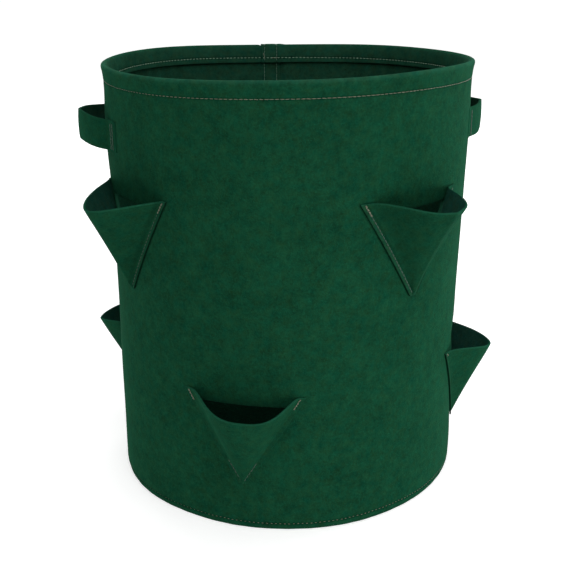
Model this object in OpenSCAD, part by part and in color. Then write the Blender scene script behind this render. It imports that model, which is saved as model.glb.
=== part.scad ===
// Round felt planter bag with six planting pockets and two strap handles.
// The front faces -Y, the back seam is at +Y and the handles are at -X and +X.
// Angles round the bag are measured from the front, positive toward +X.
// All sizes are in millimetres.

/* [Bag] */
// Height of the bag, from the ground to the rim
bag_h = 410; // [380:1:460]
// Outer diameter at the rim
rim_d = 348; // [320:1:380]
// Outer diameter at the foot
foot_d = 338; // [310:1:370]
// Thickness of the felt
felt_t = 3; // [2:0.1:4]
// Depth of the hem that is folded in at the rim
hem_depth = 19; // [15:1:35]
// Play between the two layers of the hem
hem_play = 0.5; // [0.3:0.1:1]
// Width of the overlap where the wall's ends meet at the back
lap_w = 20; // [14:1:30]

/* [Base] */
// Height of the base's edge, which turns up inside the wall
base_turn_h = 15; // [11:1:25]
// Outer radius of the bend between the base and its turned-up edge
base_bend_r = 6; // [5:0.5:10]

/* [Pockets] */
// Angle between neighbouring pockets of one row
pocket_pitch = 96.6; // [90:0.1:104]
// Angle of the middle pocket of the upper row
upper_angle = 34; // [28:0.5:38]
// Angle from the upper row to the lower row
row_shift = 43; // [36:0.5:50]
// Height of the upper row's mouths above the ground
upper_mouth_z = 303; // [275:1:310]
// Height of the lower row's mouths above the ground
lower_mouth_z = 131.5; // [120:0.5:160]
// Width of a pocket's mouth, measured along the wall
pocket_w = 107; // [90:1:120]
// Height of a pocket, from its point to its mouth
pocket_h = 88; // [75:1:100]
// Distance that a mouth's free edge bows out from the wall in the upper row
upper_bow = 45; // [20:1:50]
// Distance that a mouth's free edge bows out from the wall in the lower row
lower_bow = 37; // [20:1:50]
// Flatness of the bow's middle
bow_flatness = 3; // [2:0.25:4]
// Sharpness of the turn where the bow leaves the wall
bow_sharpness = 2.75; // [1.5:0.25:3.5]
// Width of the blunt point at a pocket's foot
pocket_point_w = 6; // [4:0.5:12]

/* [Planting holes] */
// Wall left between each end of a hole and the corner of its pocket
hole_margin = 11; // [8:0.5:16]
// Height of a hole
hole_h = 32; // [20:1:36]
// Distance from a pocket's mouth down to the straight edge of its hole
hole_drop = 8.5; // [6:0.5:14]

/* [Handles] */
// Width of the strap
strap_w = 27; // [20:1:40]
// Length along the wall between the strap's two ends
handle_span = 136; // [120:1:160]
// Length of strap that is sewn down at each end
tab_l = 12; // [8:1:20]
// Distance that the strap's middle bows out from the wall
handle_bow = 21; // [14:1:30]
// Radius of the turn where the strap leaves the wall
turn_r = 12; // [6:1:16]
// Distance from the rim down to the strap's upper edge
handle_drop = 46; // [36:1:56]

/* [Fit] */
// Clearance between pieces that lie against each other
clearance = 0.3; // [0.2:0.05:0.5]

/* [Hidden] */

// Bottle green of the outside, of the flaps, and of the straps
wall_colour = [0.08, 0.20, 0.15];
flap_colour = [0.10, 0.24, 0.18];
strap_colour = [0.07, 0.18, 0.13];

rim_r = rim_d / 2;
foot_r = foot_d / 2;
taper = (rim_r - foot_r) / bag_h;

// Angle of the seam, and of each handle's middle
back_angle = 180;
handle_angle = 90;

// Centre height and radius of the rim's fold
fold_r = felt_t + hem_play / 2;
fold_z = bag_h - fold_r;

// A shape that cuts reaches this far past what it cuts
overcut = 1;

// Steps across and up a pocket's flap
flap_across = 28;
flap_up = 5;

// Full circles keep true curves, so this only smooths what is drawn
$fn = 180;

// Outer radius of the wall at a height
function wall_r(z) = foot_r + taper * z;

// Angle that a length along the wall covers at a radius
function arc_angle(length, r) = length / r * 180 / PI;

// Unit vector in the plane that points outward at an angle
function outward(angle) = [sin(angle), -cos(angle)];

// Wall

// One layer of the wall in section, from one height to another, set in from the outer face
module layer_section(z_low, z_high, inset) {
    polygon([
        [wall_r(z_low) - inset - felt_t, z_low],
        [wall_r(z_low) - inset, z_low],
        [wall_r(z_high) - inset, z_high],
        [wall_r(z_high) - inset - felt_t, z_high]
    ]);
}

// The fold over the rim in section, open downward
module fold_section() {
    translate([wall_r(fold_z) - fold_r, fold_z]) {
        difference() {
            circle(r = fold_r);
            circle(r = hem_play / 2);
            translate([-fold_r - overcut, -fold_r - overcut]) {
                square([2 * (fold_r + overcut), fold_r + overcut]);
            }
        }
    }
}

// The wall in section, with its hem hanging down inside the rim
module wall_section() {
    layer_section(0, fold_z, 0);
    layer_section(bag_h - hem_depth, fold_z, felt_t + hem_play);
    fold_section();
}

// The end of the sheet in section, which lies inside the other end and inside its hem
module lap_section() {
    hem_inset = 2 * felt_t + hem_play;
    hem_z = bag_h - hem_depth - felt_t;
    start_z = base_turn_h + clearance;
    polygon([
        [wall_r(start_z) - 2 * felt_t, start_z],
        [wall_r(start_z) - felt_t / 2, start_z],
        [wall_r(hem_z) - felt_t / 2, hem_z],
        [wall_r(hem_z + felt_t) - hem_inset + felt_t / 2, hem_z + felt_t],
        [wall_r(fold_z) - hem_inset + felt_t / 2, fold_z],
        [wall_r(fold_z) - hem_inset - felt_t, fold_z],
        [wall_r(hem_z) - hem_inset - felt_t, hem_z],
        [wall_r(hem_z - 2 * felt_t) - 2 * felt_t, hem_z - 2 * felt_t]
    ]);
}

// The overlap of the sheet's two ends, sewn up the back
module back_lap() {
    span = arc_angle(lap_w, wall_r(bag_h / 2));
    rotate([0, 0, back_angle - 90 - span / 2]) {
        rotate_extrude(angle = span) lap_section();
    }
}

// Half-moon hole through the wall behind a pocket, with its straight edge on top
module planting_hole(angle, mouth_z) {
    half_w = pocket_w / 2 - hole_margin;
    hole_r = (half_w * half_w + hole_h * hole_h) / (2 * hole_h);
    top_z = mouth_z - hole_drop;
    outer_y = wall_r(mouth_z) + overcut;
    inner_r = wall_r(mouth_z) - felt_t;
    inner_y = sqrt(inner_r * inner_r - half_w * half_w) - overcut;
    rotate([0, 0, angle]) {
        intersection() {
            translate([0, -inner_y, top_z - hole_h + hole_r]) {
                rotate([90, 0, 0]) cylinder(r = hole_r, h = outer_y - inner_y);
            }
            translate([-hole_r, -outer_y, top_z - hole_h - overcut]) {
                cube([2 * hole_r, outer_y - inner_y, hole_h + overcut]);
            }
        }
    }
}

module side_wall() {
    color(wall_colour) {
        difference() {
            union() {
                rotate_extrude() wall_section();
                back_lap();
            }
            for (column = [-1:1]) {
                planting_hole(upper_pocket_angle(column), upper_mouth_z);
                planting_hole(lower_pocket_angle(column), lower_mouth_z);
            }
        }
    }
}

// Base

// The base in section: a flat disc whose edge bends up inside the wall
module base_section() {
    outer_r = foot_r - felt_t - clearance;
    bend_x = outer_r - base_bend_r;
    square([bend_x, felt_t]);
    translate([bend_x, base_bend_r]) {
        difference() {
            circle(r = base_bend_r);
            circle(r = base_bend_r - felt_t);
            translate([-base_bend_r - overcut, 0]) {
                square(2 * (base_bend_r + overcut));
            }
            translate([-base_bend_r - overcut, -base_bend_r - overcut]) {
                square([base_bend_r + overcut, 2 * (base_bend_r + overcut)]);
            }
        }
    }
    rise = taper * (base_turn_h - base_bend_r);
    polygon([
        [outer_r - felt_t, base_bend_r],
        [outer_r, base_bend_r],
        [outer_r + rise, base_turn_h],
        [outer_r + rise - felt_t, base_turn_h]
    ]);
}

module base_disc() {
    color(wall_colour) rotate_extrude() base_section();
}

// Pockets

// Middle angle of a pocket in each row, with the columns counted -1, 0 and 1
function upper_pocket_angle(column) = upper_angle + column * pocket_pitch;
function lower_pocket_angle(column) = upper_angle + row_shift + (column - 1) * pocket_pitch;

// The flap is drawn by two fractions: s runs across it from -1 to 1 and t runs from its point,
// where all its straight lines would meet at 0, to its mouth at 1.

// The fraction t at the flap's blunt point
point_t = pocket_point_w / pocket_w;

// Distance from the wall at the mouth
function mouth_bow(s, bow) = bow * pow(1 - pow(abs(s), bow_flatness), bow_sharpness);

// Slope of the bow across the mouth
function bow_slope(s, bow) =
    bow * bow_sharpness * bow_flatness * pow(abs(s), bow_flatness - 1)
    * pow(1 - pow(abs(s), bow_flatness), bow_sharpness - 1) / (pocket_w / 2);

// Drop of the mouth's edge as its line swings out at constant length
function mouth_dip(s, bow) = pocket_h - sqrt(pocket_h * pocket_h - pow(mouth_bow(s, bow), 2));

// Height of a point of the flap
function flap_z(s, t, mouth_z, bow) = mouth_z - pocket_h + t * (pocket_h - mouth_dip(s, bow));

// Share of the mouth's bow, from 0 at the blunt point, which lies flat on the wall
function bow_share(t) = (t - point_t) / (1 - point_t);

// A point of the flap on its inner face (side 0) or its outer face (side 1). The thickness is
// taken along the radius, so it grows with the slope to stay one felt square to the face.
function flap_point(s, t, side, mouth_z, bow) =
    let (
        z = flap_z(s, t, mouth_z, bow),
        angle = s * t * arc_angle(pocket_w / 2, wall_r(mouth_z)),
        slope = bow_slope(s, bow) * bow_share(t) / t,
        inner_r = wall_r(z) + clearance + bow_share(t) * mouth_bow(s, bow),
        r = inner_r + side * felt_t * sqrt(1 + slope * slope)
    )
    [r * outward(angle)[0], r * outward(angle)[1], z];

// Two triangles that close the space between four corners
function two_triangles(a, b, c, d) = [[a, b, c], [a, c, d]];

// Triangular flap, sewn to the wall along its two slanted sides and open along its bowed mouth
module pocket_flap(angle, mouth_z, bow) {
    row = flap_up + 1;
    face = (flap_across + 1) * row;
    corner = function (side, i, j) side * face + i * row + j;
    points = [
        for (side = [0, 1]) for (i = [0:flap_across]) for (j = [0:flap_up])
            flap_point(2 * i / flap_across - 1, point_t + (1 - point_t) * j / flap_up, side, mouth_z, bow)
    ];
    faces = [
        for (i = [0:flap_across - 1]) for (j = [0:flap_up - 1]) each concat(
            two_triangles(corner(1, i, j), corner(1, i, j + 1), corner(1, i + 1, j + 1), corner(1, i + 1, j)),
            two_triangles(corner(0, i, j), corner(0, i + 1, j), corner(0, i + 1, j + 1), corner(0, i, j + 1))
        ),
        for (i = [0:flap_across - 1]) each concat(
            two_triangles(corner(1, i + 1, flap_up), corner(1, i, flap_up),
                          corner(0, i, flap_up), corner(0, i + 1, flap_up)),
            two_triangles(corner(1, i, 0), corner(1, i + 1, 0), corner(0, i + 1, 0), corner(0, i, 0))
        ),
        for (j = [0:flap_up - 1]) each concat(
            two_triangles(corner(1, 0, j + 1), corner(1, 0, j), corner(0, 0, j), corner(0, 0, j + 1)),
            two_triangles(corner(1, flap_across, j), corner(1, flap_across, j + 1),
                          corner(0, flap_across, j + 1), corner(0, flap_across, j))
        )
    ];
    color(flap_colour) rotate([0, 0, angle]) polyhedron(points = points, faces = faces);
}

// A pocket of each row, in the column -1, 0 or 1
module upper_pocket(column) {
    pocket_flap(upper_pocket_angle(column), upper_mouth_z, upper_bow);
}

module lower_pocket(column) {
    pocket_flap(lower_pocket_angle(column), lower_mouth_z, lower_bow);
}

// Handles

handle_top_z = bag_h - handle_drop;

// Radius of the strap's middle line where it is sewn to the wall, level with its upper edge
strap_r = wall_r(handle_top_z) + clearance + felt_t / 2;

// Angles from the handle's middle to the strap's end and to where the strap leaves the wall
end_angle = arc_angle(handle_span / 2, strap_r);
leave_angle = end_angle - arc_angle(tab_l, strap_r);

// The strap's middle line is an arc whose centre is on the handle's middle line, and it meets
// the wall through two smaller arcs that turn the other way. All three touch without a corner.
turn_centre_r = strap_r + turn_r;
turn_centre_out = turn_centre_r * cos(leave_angle);
turn_centre_side = turn_centre_r * sin(leave_angle);
reach = strap_r + handle_bow + turn_r;
bow_centre_out = (reach * reach - turn_centre_r * turn_centre_r) / (2 * (reach - turn_centre_out));
bow_r = strap_r + handle_bow - bow_centre_out;
bow_angle = atan2(turn_centre_side, turn_centre_out - bow_centre_out);

// The loop ends and the tabs begin at this distance to each side of the handle's middle
split_side = strap_r * sin(leave_angle);

// Part of a ring one felt thick, between two angles
module strap_arc(r, from_angle, to_angle) {
    far = 2 * (r + felt_t);
    middle = (from_angle + to_angle) / 2;
    intersection() {
        difference() {
            circle(r = r + felt_t / 2);
            circle(r = r - felt_t / 2);
        }
        polygon([[0, 0], far * outward(from_angle), far * outward(middle), far * outward(to_angle)]);
    }
}

// Plan of the loop, bowing out from the wall
module loop_plan() {
    translate([0, -bow_centre_out]) strap_arc(bow_r, -bow_angle, bow_angle);
    for (side = [-1, 1]) {
        translate([side * turn_centre_side, -turn_centre_out]) {
            strap_arc(turn_r, 180 + side * bow_angle, 180 + side * leave_angle);
        }
    }
}

// The loop of strap between its two sewn ends
module handle_loop(angle) {
    width = 2 * split_side - clearance;
    depth = strap_r + handle_bow + felt_t;
    color(strap_colour) {
        rotate([0, 0, angle]) translate([0, 0, handle_top_z - strap_w]) {
            linear_extrude(strap_w) intersection() {
                loop_plan();
                translate([-width / 2, -depth]) square([width, depth]);
            }
        }
    }
}

// End of the strap, sewn flat to the wall on one side of the handle's middle
module handle_tab(angle, side) {
    low_z = handle_top_z - strap_w;
    reach_in = arc_angle(felt_t, strap_r);
    sweep = end_angle - leave_angle + reach_in;
    start = side > 0 ? leave_angle - reach_in : -end_angle;
    cut = split_side + clearance / 2;
    color(strap_colour) rotate([0, 0, angle]) difference() {
        rotate([0, 0, start - 90]) {
            rotate_extrude(angle = sweep) layer_section(low_z, handle_top_z, -felt_t - clearance);
        }
        translate([-cut, -2 * strap_r, low_z - overcut]) {
            cube([2 * cut, 2 * strap_r, strap_w + 2 * overcut]);
        }
    }
}

side_wall();
base_disc();
upper_pocket(-1);  // upper_pocket_left
upper_pocket(0);  // upper_pocket_right
upper_pocket(1);  // upper_pocket_back
lower_pocket(-1);  // lower_pocket_left
lower_pocket(0);  // lower_pocket_front
lower_pocket(1);  // lower_pocket_right
handle_loop(-handle_angle);  // left_handle
handle_tab(-handle_angle, 1);  // left_handle_front_tab
handle_tab(-handle_angle, -1);  // left_handle_back_tab
handle_loop(handle_angle);  // right_handle
handle_tab(handle_angle, -1);  // right_handle_front_tab
handle_tab(handle_angle, 1);  // right_handle_back_tab
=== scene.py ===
"""Looks of a round felt planter bag: sewn wall, base, planting pockets and strap handles.

The front faces -Y, the back seam is at +Y and the handles are at -X and +X. Angles round the bag
are in degrees from the front, positive toward +X. Forms are worked out in millimetres and become
metres where a mesh is made.
"""

import logging
import math
from dataclasses import dataclass, field
from enum import Enum
from functools import reduce
from typing import Callable, Sequence

import bpy
import numpy as np
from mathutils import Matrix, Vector
from numpy.typing import NDArray


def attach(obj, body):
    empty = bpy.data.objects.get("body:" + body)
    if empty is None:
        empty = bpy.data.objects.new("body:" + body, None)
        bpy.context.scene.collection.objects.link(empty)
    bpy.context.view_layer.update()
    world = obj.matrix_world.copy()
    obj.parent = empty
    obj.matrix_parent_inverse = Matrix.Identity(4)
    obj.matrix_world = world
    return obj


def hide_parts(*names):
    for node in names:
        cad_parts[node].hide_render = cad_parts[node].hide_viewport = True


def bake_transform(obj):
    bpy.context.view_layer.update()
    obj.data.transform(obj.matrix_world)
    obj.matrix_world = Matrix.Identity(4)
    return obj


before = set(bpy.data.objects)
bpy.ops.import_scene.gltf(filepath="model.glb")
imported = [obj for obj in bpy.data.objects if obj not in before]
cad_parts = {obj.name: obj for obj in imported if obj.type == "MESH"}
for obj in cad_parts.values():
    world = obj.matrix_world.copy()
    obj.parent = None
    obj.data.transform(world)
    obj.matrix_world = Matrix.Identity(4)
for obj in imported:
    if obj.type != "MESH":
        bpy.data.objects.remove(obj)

Array = NDArray[np.float64]
Face = tuple[int, ...]
Line = tuple[Array, Array]
Colour = tuple[float, float, float, float]
Surface = Callable[[Array, Array], Array]
Socket = bpy.types.NodeSocket

LOG = logging.getLogger("planter_bag")
# A millimetre in metres
MM = 0.001
# Vectors shorter than this have no direction
TINY = 1e-12
# Heights that differ by less than this are level
LEVEL = 0.01
# The wall faces a hole within this many degrees, and past them it counts as far from the hole
FACING = 60.0
FAR = 999.0
# Points on a line round the bag, and on a short row of doubled stitches
ROUND_POINTS = 721
TACK_POINTS = 30
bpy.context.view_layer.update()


class Side(Enum):
    """The two sides of the bag that carry a handle, by the sign of X."""

    LEFT = -1
    RIGHT = 1


class StrapEnd(Enum):
    """The two ends of a strap, by the sign of Y."""

    FRONT = -1
    BACK = 1


def smooth_step(value: Array, low: float, high: float) -> Array:
    """0 up to low, 1 from high on, and a smooth rise between."""
    share = np.clip((np.asarray(value, float) - low) / (high - low), 0.0, 1.0)
    return share * share * (3.0 - 2.0 * share)


def ridge(value: Array, centre: float, width: float) -> Array:
    """A rounded ridge of height 1 at the centre, which fades over the width."""
    return np.exp(-(((np.asarray(value, float) - centre) / width) ** 2))


def turn_between(angle: Array, centre: float) -> Array:
    """Degrees from the centre angle to each angle, from -180 to 180."""
    return (np.asarray(angle, float) - centre + 180.0) % 360.0 - 180.0


def normalised(vectors: Array) -> Array:
    """The same vectors at length 1."""
    length = np.linalg.norm(vectors, axis=-1, keepdims=True)
    return vectors / np.maximum(length, TINY)


def round_at(radius: Array, angle: Array, z: Array) -> Array:
    """Points at each radius from the bag's axis, angle round it and height."""
    turn = np.radians(angle)
    return np.stack([radius * np.sin(turn), -radius * np.cos(turn), z], axis=-1)


def inward(angle: Array) -> Array:
    """Level directions toward the bag's axis."""
    return round_at(-1.0, angle, np.zeros_like(angle))


@dataclass(frozen=True)
class Lobe:
    """A soft swelling or hollow of the wall round one place."""

    angle: float
    height: float
    out: float
    width: float = 32.0
    tall: float = 52.0

    def amount(self, angle: Array, z: Array) -> Array:
        """Distance that the wall stands out because of this lobe."""
        across = ridge(turn_between(angle, self.angle), 0.0, self.width)
        return self.out * across * ridge(z, self.height, self.tall)


@dataclass(frozen=True)
class Ripple:
    """A faint wave of the wall, which runs round the bag and up it."""

    out: float
    waves: int
    offset: float
    length: float
    phase: float

    def amount(self, angle: Array, z: Array) -> Array:
        """Distance that the wall stands out because of this wave."""
        around = np.sin(np.radians(self.waves * angle + self.offset))
        return self.out * (around * np.sin(z / self.length + self.phase))


@dataclass(frozen=True)
class Wave:
    """A stretch round the bag that is a little higher, or below 0 lower, than the rest."""

    angle: float
    rise: float
    width: float = 30.0

    def amount(self, angle: Array) -> Array:
        """Height that this wave adds at each angle."""
        return self.rise * ridge(turn_between(angle, self.angle), 0.0, self.width)


def waved(level: float, waves: Sequence[Wave], angle: Array) -> Array:
    """A level that rises and falls with the waves round the bag."""
    return sum((wave.amount(angle) for wave in waves), level)


def pleated(angle: Array, pleats: Sequence[tuple[float, int, float]], start: float = 0.0) -> Array:
    """Sum of even waves round the bag, each given by its height, its number and its offset."""
    return sum((rise * np.sin(np.radians(count * angle + offset)) for rise, count, offset in pleats), start)


@dataclass(frozen=True)
class Groove:
    """A soft furrow of the felt along a row of stitches."""

    depth: float
    width: float

    def amount(self, distance: Array) -> Array:
        """Depth at each distance from the row."""
        return self.depth * ridge(distance, 0.0, self.width)


@dataclass(frozen=True)
class BagForm:
    """The slack round form that every piece of the bag is laid on."""

    height: float = 410.0
    rim_radius: float = 174.4
    foot_radius: float = 169.4
    felt: float = 3.0
    flare: float = 3.7
    flare_depth: float = 9.0
    foot_tuck: float = 1.3
    foot_tuck_depth: float = 3.0
    pleats: tuple[tuple[float, int, float], ...] = ((1.0, 43, 0.0), (0.8, 61, 70.0))
    puckers: tuple[tuple[float, float, float], ...] = ((0.16, 394.0, 11.0), (0.14, 8.0, 9.0))
    rim_waves: tuple[Wave, ...] = (
        Wave(-135.0, 1.6),
        Wave(-90.0, -0.7),
        Wave(-45.0, -2.4),
        Wave(0.0, -0.2),
        Wave(45.0, 3.2),
        Wave(90.0, 1.6),
        Wave(135.0, 1.6),
        Wave(180.0, -0.8),
    )
    lobes: tuple[Lobe, ...] = (
        Lobe(-88.0, 15.0, 0.8),
        Lobe(-88.0, 100.0, 0.9),
        Lobe(-88.0, 185.0, -0.8),
        Lobe(-88.0, 270.0, -1.5),
        Lobe(-88.0, 350.0, 2.0),
        Lobe(-88.0, 405.0, -1.3),
        Lobe(76.0, 15.0, 2.8),
        Lobe(76.0, 185.0, -0.6),
        Lobe(76.0, 270.0, 0.7),
        Lobe(76.0, 350.0, 1.9),
        Lobe(76.0, 405.0, -0.4),
        Lobe(-66.0, 0.0, 1.4, 20.0, 50.0),
        Lobe(-20.0, 0.0, 1.9, 26.0, 50.0),
        Lobe(15.0, 0.0, 1.8, 26.0, 50.0),
        Lobe(45.0, 0.0, -0.9, 26.0, 50.0),
        Lobe(180.0, 120.0, 1.5, 60.0, 90.0),
        Lobe(-19.6, 141.0, -2.2, 13.0, 15.0),
        Lobe(77.0, 141.0, -1.6, 13.0, 15.0),
        Lobe(-116.2, 141.0, -1.8, 13.0, 15.0),
        Lobe(34.0, 312.0, -1.2, 12.0, 14.0),
        Lobe(-62.6, 312.0, -1.2, 12.0, 14.0),
        Lobe(130.6, 312.0, -1.4, 12.0, 14.0),
    )
    ripples: tuple[Ripple, ...] = (Ripple(0.35, 5, 40.0, 61.0, 0.6), Ripple(0.22, 11, -25.0, 37.0, 2.1))

    def radius(self, z: Array) -> Array:
        """Outer radius of the unswollen wall at each height."""
        slope = (self.rim_radius - self.foot_radius) / self.height
        return self.foot_radius + slope * np.asarray(z, float)

    def degrees(self, length: float, z: float) -> float:
        """The angle that a length along the unswollen wall takes up at one height."""
        return math.degrees(length / float(self.radius(z)))

    def swell(self, angle: Array, z: Array) -> Array:
        """Distance in millimetres that the soft wall stands out from its round form.

        The pleats pucker it along the rows of stitches, each of which gives its depth, height and
        reach.

        Args:
            angle: Angles round the bag.
            z: Heights, of the same shape.

        Returns:
            The distances, below 0 where the wall is hollow.
        """
        total = self.flare * np.exp(-np.maximum(self.height - z, 0.0) / self.flare_depth)
        total = total - self.foot_tuck * np.exp(-np.maximum(z, 0.0) / self.foot_tuck_depth)
        for part in (*self.lobes, *self.ripples):
            total = total + part.amount(angle, z)
        pleats = pleated(angle, self.pleats)
        for depth, height, reach in self.puckers:
            total = total + depth * pleats * ridge(z, height, reach)
        return total

    def lift(self, angle: Array, z: Array) -> Array:
        """Height that the wall gains because its rim isn't level."""
        return waved(0.0, self.rim_waves, angle) * (np.asarray(z, float) / self.height) ** 2

    def place(self, angle: Array, z: Array, out: Array) -> Array:
        """Points on or near the wall.

        Args:
            angle: Angles round the bag.
            z: Heights on the level form.
            out: Distances outward from the wall's outer face.

        Returns:
            Points in millimetres, with one more axis than the angles.
        """
        angle, z, out = np.broadcast_arrays(*(np.asarray(given, float) for given in (angle, z, out)))
        r = self.radius(z) + self.swell(angle, z) + out
        return round_at(r, angle, z + self.lift(angle, z))


def normal_of(surface: Surface, first: Array, second: Array, step: float) -> Array:
    """Outward directions of a surface that is given by two numbers.

    Args:
        surface: Gives points from the two numbers.
        first: First number of each point.
        second: Second number of each point.
        step: Small step of both numbers, over which the slope is taken.

    Returns:
        Vectors of length 1.
    """
    along_first = surface(first + step, second) - surface(first - step, second)
    along_second = surface(first, second + step) - surface(first, second - step)
    return normalised(np.cross(along_first, along_second))


def grid_faces(columns: int, rows: int) -> list[Face]:
    """Faces of a grid whose points run up each column in turn."""
    return [
        (i * rows + j, (i + 1) * rows + j, (i + 1) * rows + j + 1, i * rows + j + 1)
        for i in range(columns - 1)
        for j in range(rows - 1)
    ]


def faces_by_size(faces: Sequence[Face]) -> list[NDArray[np.int64]]:
    """The faces as one array for each number of corners."""
    sizes = sorted({len(face) for face in faces})
    return [np.array([face for face in faces if len(face) == size]) for size in sizes]


def vertex_normals(points: Array, faces: Sequence[Face]) -> Array:
    """Mean direction of the faces round each point.

    Args:
        points: Points of a surface.
        faces: Its faces, all turned the same way.

    Returns:
        One vector of length 1 for each point.
    """
    total = np.zeros_like(points)
    for group in faces_by_size(faces):
        for k in range(group.shape[1]):
            here = group[:, k]
            after = points[group[:, (k + 1) % group.shape[1]]] - points[here]
            before = points[group[:, k - 1]] - points[here]
            np.add.at(total, here, np.cross(after, before))
    return normalised(total)


def open_edges(faces: Sequence[Face], count: int) -> NDArray[np.int64]:
    """Edges that belong to one face only.

    Args:
        faces: Faces of a surface.
        count: Number of its points.

    Returns:
        Pairs of points, in the direction in which their face runs.
    """
    groups = faces_by_size(faces)
    start = np.concatenate([group.ravel() for group in groups])
    end = np.concatenate([np.roll(group, -1, axis=1).ravel() for group in groups])
    lonely = ~np.isin(start * count + end, end * count + start)
    return np.stack([start[lonely], end[lonely]], axis=1)


@dataclass
class Form:
    """Points, faces and masks of a piece, ready to become a mesh."""

    points: Array
    faces: list[Face]
    masks: dict[str, Array]

    def joined(self, other: "Form") -> "Form":
        """This form and another as one.

        Args:
            other: A form with the same masks.

        Returns:
            Both in one form, the other one last.
        """
        shift = len(self.points)
        faces = self.faces + [tuple(i + shift for i in face) for face in other.faces]
        masks = {name: np.concatenate([mask, other.masks[name]]) for name, mask in self.masks.items()}
        return Form(np.concatenate([self.points, other.points]), faces, masks)

    def to_object(self, name: str) -> bpy.types.Object:
        """Makes the Blender object of this form.

        Args:
            name: Name of the object and of its mesh.

        Returns:
            The object, linked to the scene, with smooth shading.
        """
        mesh = bpy.data.meshes.new(name)
        mesh.from_pydata((self.points * MM).tolist(), [], self.faces)
        mesh.polygons.foreach_set("use_smooth", [True] * len(mesh.polygons))
        for label, values in self.masks.items():
            layer = mesh.attributes.new(label, "FLOAT", "POINT")
            layer.data.foreach_set("value", values.astype(np.float32))
        mesh.update()
        piece = bpy.data.objects.new(name, mesh)
        bpy.context.scene.collection.objects.link(piece)
        return piece


@dataclass
class Felt:
    """The middle surface of a cut piece of felt, with its thickness to both sides."""

    points: Array
    faces: list[Face]
    front: Array
    back: Array
    # Painted shade where stitches pull the felt in, along grooves and sewn edges
    pressed: Array | float = 0.0
    # Share of the front that takes the inside colour, which paints the light inside the bag
    folded_in: Array | float = 0.0
    # Painted highlight where raised fuzz catches the light
    worn: Array | float = 0.0
    cut_bulge: float = 0.4
    cut_roundness: float = 0.75
    cut_rings: int = 5
    brink_cut: float = 0.35

    def thick(self) -> Form:
        """Gives the felt its thickness and rounds its cut edges.

        Returns:
            A closed form. Its mask "cut_edge" is 1 on the cut edges, where fibres show, its mask
            "pressed" is 1 where stitches pull the felt together and marks painted shade there, its mask
            "inner" is 1 on the back and where the front is folded in, which take a colour that paints
            the light inside the bag, and its highlight mask is 1 where raised fuzz gets a painted highlight.
        """
        count = len(self.points)
        normals = vertex_normals(self.points, self.faces)
        edges = open_edges(self.faces, count)
        run = self.points[edges[:, 1]] - self.points[edges[:, 0]]
        away = normalised(np.cross(run, normals[edges[:, 0]] + normals[edges[:, 1]]))
        outward = np.zeros_like(self.points)
        for end in (0, 1):
            np.add.at(outward, edges[:, end], away)
        rim = np.unique(edges)
        outward = normalised(outward[rim])
        shells = [
            self.points + normals * self.front[:, None],
            self.points - normals * self.back[:, None],
        ]
        rings = [rim]
        for step in range(1, self.cut_rings + 1):
            turn = math.pi * step / (self.cut_rings + 1)
            across = math.copysign(abs(math.cos(turn)) ** self.cut_roundness, math.cos(turn))
            half = (self.front if across >= 0 else self.back)[rim, None]
            reach = self.cut_bulge * math.sin(turn) ** self.cut_roundness
            shells.append(self.points[rim] + normals[rim] * half * across + outward * half * reach)
            rings.append(2 * count + (step - 1) * len(rim) + np.arange(len(rim)))
        rings.append(rim + count)
        faces = list(self.faces) + [tuple(i + count for i in reversed(face)) for face in self.faces]
        first, second = np.searchsorted(rim, edges[:, 0]), np.searchsorted(rim, edges[:, 1])
        for near, far in zip(rings, rings[1:]):
            quads = np.stack([near[second], near[first], far[first], far[second]], axis=1)
            faces += [tuple(quad) for quad in quads.tolist()]
        points = np.concatenate(shells)
        cut, pressed, inner, worn = (np.zeros(len(points)) for _ in range(4))
        cut[2 * count:] = 1.0
        cut[rim] = cut[rim + count] = self.brink_cut
        # Painted shade where stitches pull the felt in, carried onto the cut edges there
        pressed[:count] = self.pressed
        pressed[2 * count:] = np.tile(pressed[rim], self.cut_rings)
        # The back and the folded-in front take the inside colour, painted light and shade of the bag's inside
        inner[:count] = self.folded_in
        inner[count:2 * count] = 1.0
        # Painted highlight on the front where raised fuzz catches the light
        worn[:count] = self.worn
        # The cut edges lose their lighter colour under the painted shade
        masks = {"cut_edge": cut * (1.0 - pressed), "pressed": pressed, "inner": inner, "worn": worn}
        return Form(points, faces, masks)


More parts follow.
